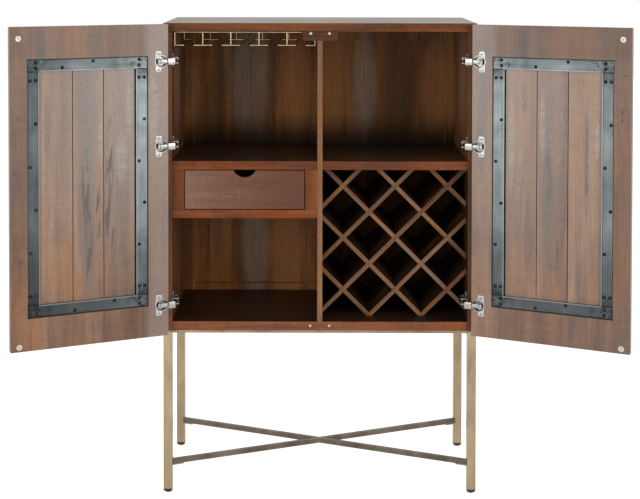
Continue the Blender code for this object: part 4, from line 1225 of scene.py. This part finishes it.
def hook(data, x, rail, front, back, foot):
    """The end loops have one rail: out from the front hanger, back along the bay and in again."""
    way = 1 if rail > x else -1
    start = 0 if way > 0 else 180
    inner = rail - way * LOOP_CORNER
    near = arc((inner, front + LOOP_CORNER), LOOP_CORNER, -90, -start, 5)
    far = arc((inner, back - LOOP_CORNER), LOOP_CORNER, start, 90, 5)
    wire(data, [(x, front, foot)] + [(a, y, foot) for a, y in near + far] + [(x, back, foot)])


def stemware_rack():
    low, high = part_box("stemware_rack")
    left, right = low.x + WIRE_IN, high.x - WIRE_IN
    front, back = low.y + WIRE_IN, high.y - WIRE_IN
    top = high.z - WIRE
    foot = low.z + WIRE_FOOT
    half = LOOP_WIDTH / 2 - WIRE
    data = bpy.data.curves.new("rack_wire", "CURVE")
    data.dimensions = "3D"
    data.bevel_depth = WIRE
    data.bevel_resolution = 4
    data.use_fill_caps = True
    wire(data, [(x, y, top) for x, y in rounded((left, right), (front, back), RACK_CORNER)], True)
    for order in range(RACK_SLOTS + 1):
        x = left + (right - left) * order / RACK_SLOTS
        for y in (front, back):
            wire(data, [(x, y, top), (x, y, foot)])
        if order == 0:
            hook(data, x, x + half, front, back, foot)
        elif order == RACK_SLOTS:
            hook(data, x, x - half, front, back, foot)
        else:
            loop = rounded((x - half, x + half), (front - LOOP_PAST, back + LOOP_PAST), LOOP_CORNER)
            wire(data, [(across, y, foot) for across, y in loop], True)
    data.materials.append(bright_brass)
    made = placed("rack_wire", data)
    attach(made, "cabinet")
    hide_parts("stemware_rack")


stemware_rack()


def soften(name, width, segments=2):
    soft = nodes[name].modifiers.new("soft_edges", "BEVEL")
    soft.width = width
    soft.segments = segments
    soft.limit_method = "ANGLE"
    soft.angle_limit = SHARP_ANGLE
    soft.harden_normals = True


for name in ("stand_frame", "stretcher"):
    soften(name, 0.0013, 3)
for slope in ("falling", "rising"):
    for order in range(1, 6):
        soften(f"lattice_{slope}_{order}", 0.0006, 1)
for name in ("drawer_front", "drawer_box", "left_drawer_guide", "right_drawer_guide", "catch_block"):
    soften(name, 0.0008)
for side in SIDES:
    for place in PLACES:
        soften(f"{side}_{place}_hinge_arm", 0.0003)


# Floor, world, light and camera

AMBIENT = 0.45
FLOOR_GLOW = 0.75
SOFTBOX_SIZE = (1.3, 2.4)
SOFTBOX_POWER = 34
SOFTBOX_PLACE = (2.05, -2.9, 1.75)
SOFTBOX_AIM = (0.2, 0, 0.95)
LENS = 74.195
SHIFT = (0.01687, -0.39976)
CAMERA_PLACE = (-0.01643, -3.92024, 1.55904)
CAMERA_TURN = (88.5748, -0.076, 0.2345)


def plainly_seen(look):
    """One where the camera, a reflection or glass sees the surface, and none where light only reaches it."""
    ray = look.node("LightPath").outputs
    seen = look.maths("MAXIMUM", ray["Is Camera Ray"], ray["Is Glossy Ray"])
    return look.maths("MAXIMUM", seen, ray["Is Transmission Ray"])


def make_floor():
    look = Look("floor", roughness=0.9)
    speck = look.noise(look.place(), 30, 2)
    look.colour = look.ramp(speck, [(0.3, (0.8, 0.8, 0.8)), (0.7, (0.83, 0.83, 0.83))])
    look.finish()
    look.set(look.shader["Emission Color"], (1, 1, 1))
    look.set(look.shader["Emission Strength"], look.times(plainly_seen(look), FLOOR_GLOW))
    shape = bmesh.new()
    bmesh.ops.create_grid(shape, x_segments=1, y_segments=1, size=14)
    data = bpy.data.meshes.new("floor")
    shape.to_mesh(data)
    shape.free()
    data.materials.append(look.material)
    floor = placed("floor", data)
    floor.location.z = -0.0005


def make_world():
    world = bpy.data.worlds.new("studio")
    bpy.context.scene.world = world
    world.use_nodes = True
    studio = Nodes(world.node_tree)
    background = studio.tree.nodes["Background"].inputs
    background["Color"].default_value = (1, 1, 1, 1)
    studio.set(background["Strength"], studio.ranged(plainly_seen(studio), 0, 1, AMBIENT, 1.0))


def softbox(name, sign):
    place, aim = (Vector((sign * x, y, z)) for x, y, z in (SOFTBOX_PLACE, SOFTBOX_AIM))
    data = bpy.data.lights.new(name, "AREA")
    data.shape = "RECTANGLE"
    data.size, data.size_y = SOFTBOX_SIZE
    data.energy = SOFTBOX_POWER
    lamp = placed(name, data)
    lamp.location = place
    lamp.rotation_euler = (aim - place).to_track_quat("-Z", "Y").to_euler()


def make_camera():
    data = bpy.data.cameras.new("camera")
    data.lens = LENS
    data.sensor_width = 36
    data.shift_x, data.shift_y = SHIFT
    camera = placed("camera", data)
    camera.location = CAMERA_PLACE
    camera.rotation_euler = [math.radians(angle) for angle in CAMERA_TURN]
    bpy.context.scene.camera = camera


make_floor()
make_world()
for sign in SIDES.values():
    softbox(f"softbox_{sign + 1}", sign)
make_camera()
bpy.context.scene.view_settings.view_transform = "Standard"

bpy.context.view_layer.update()
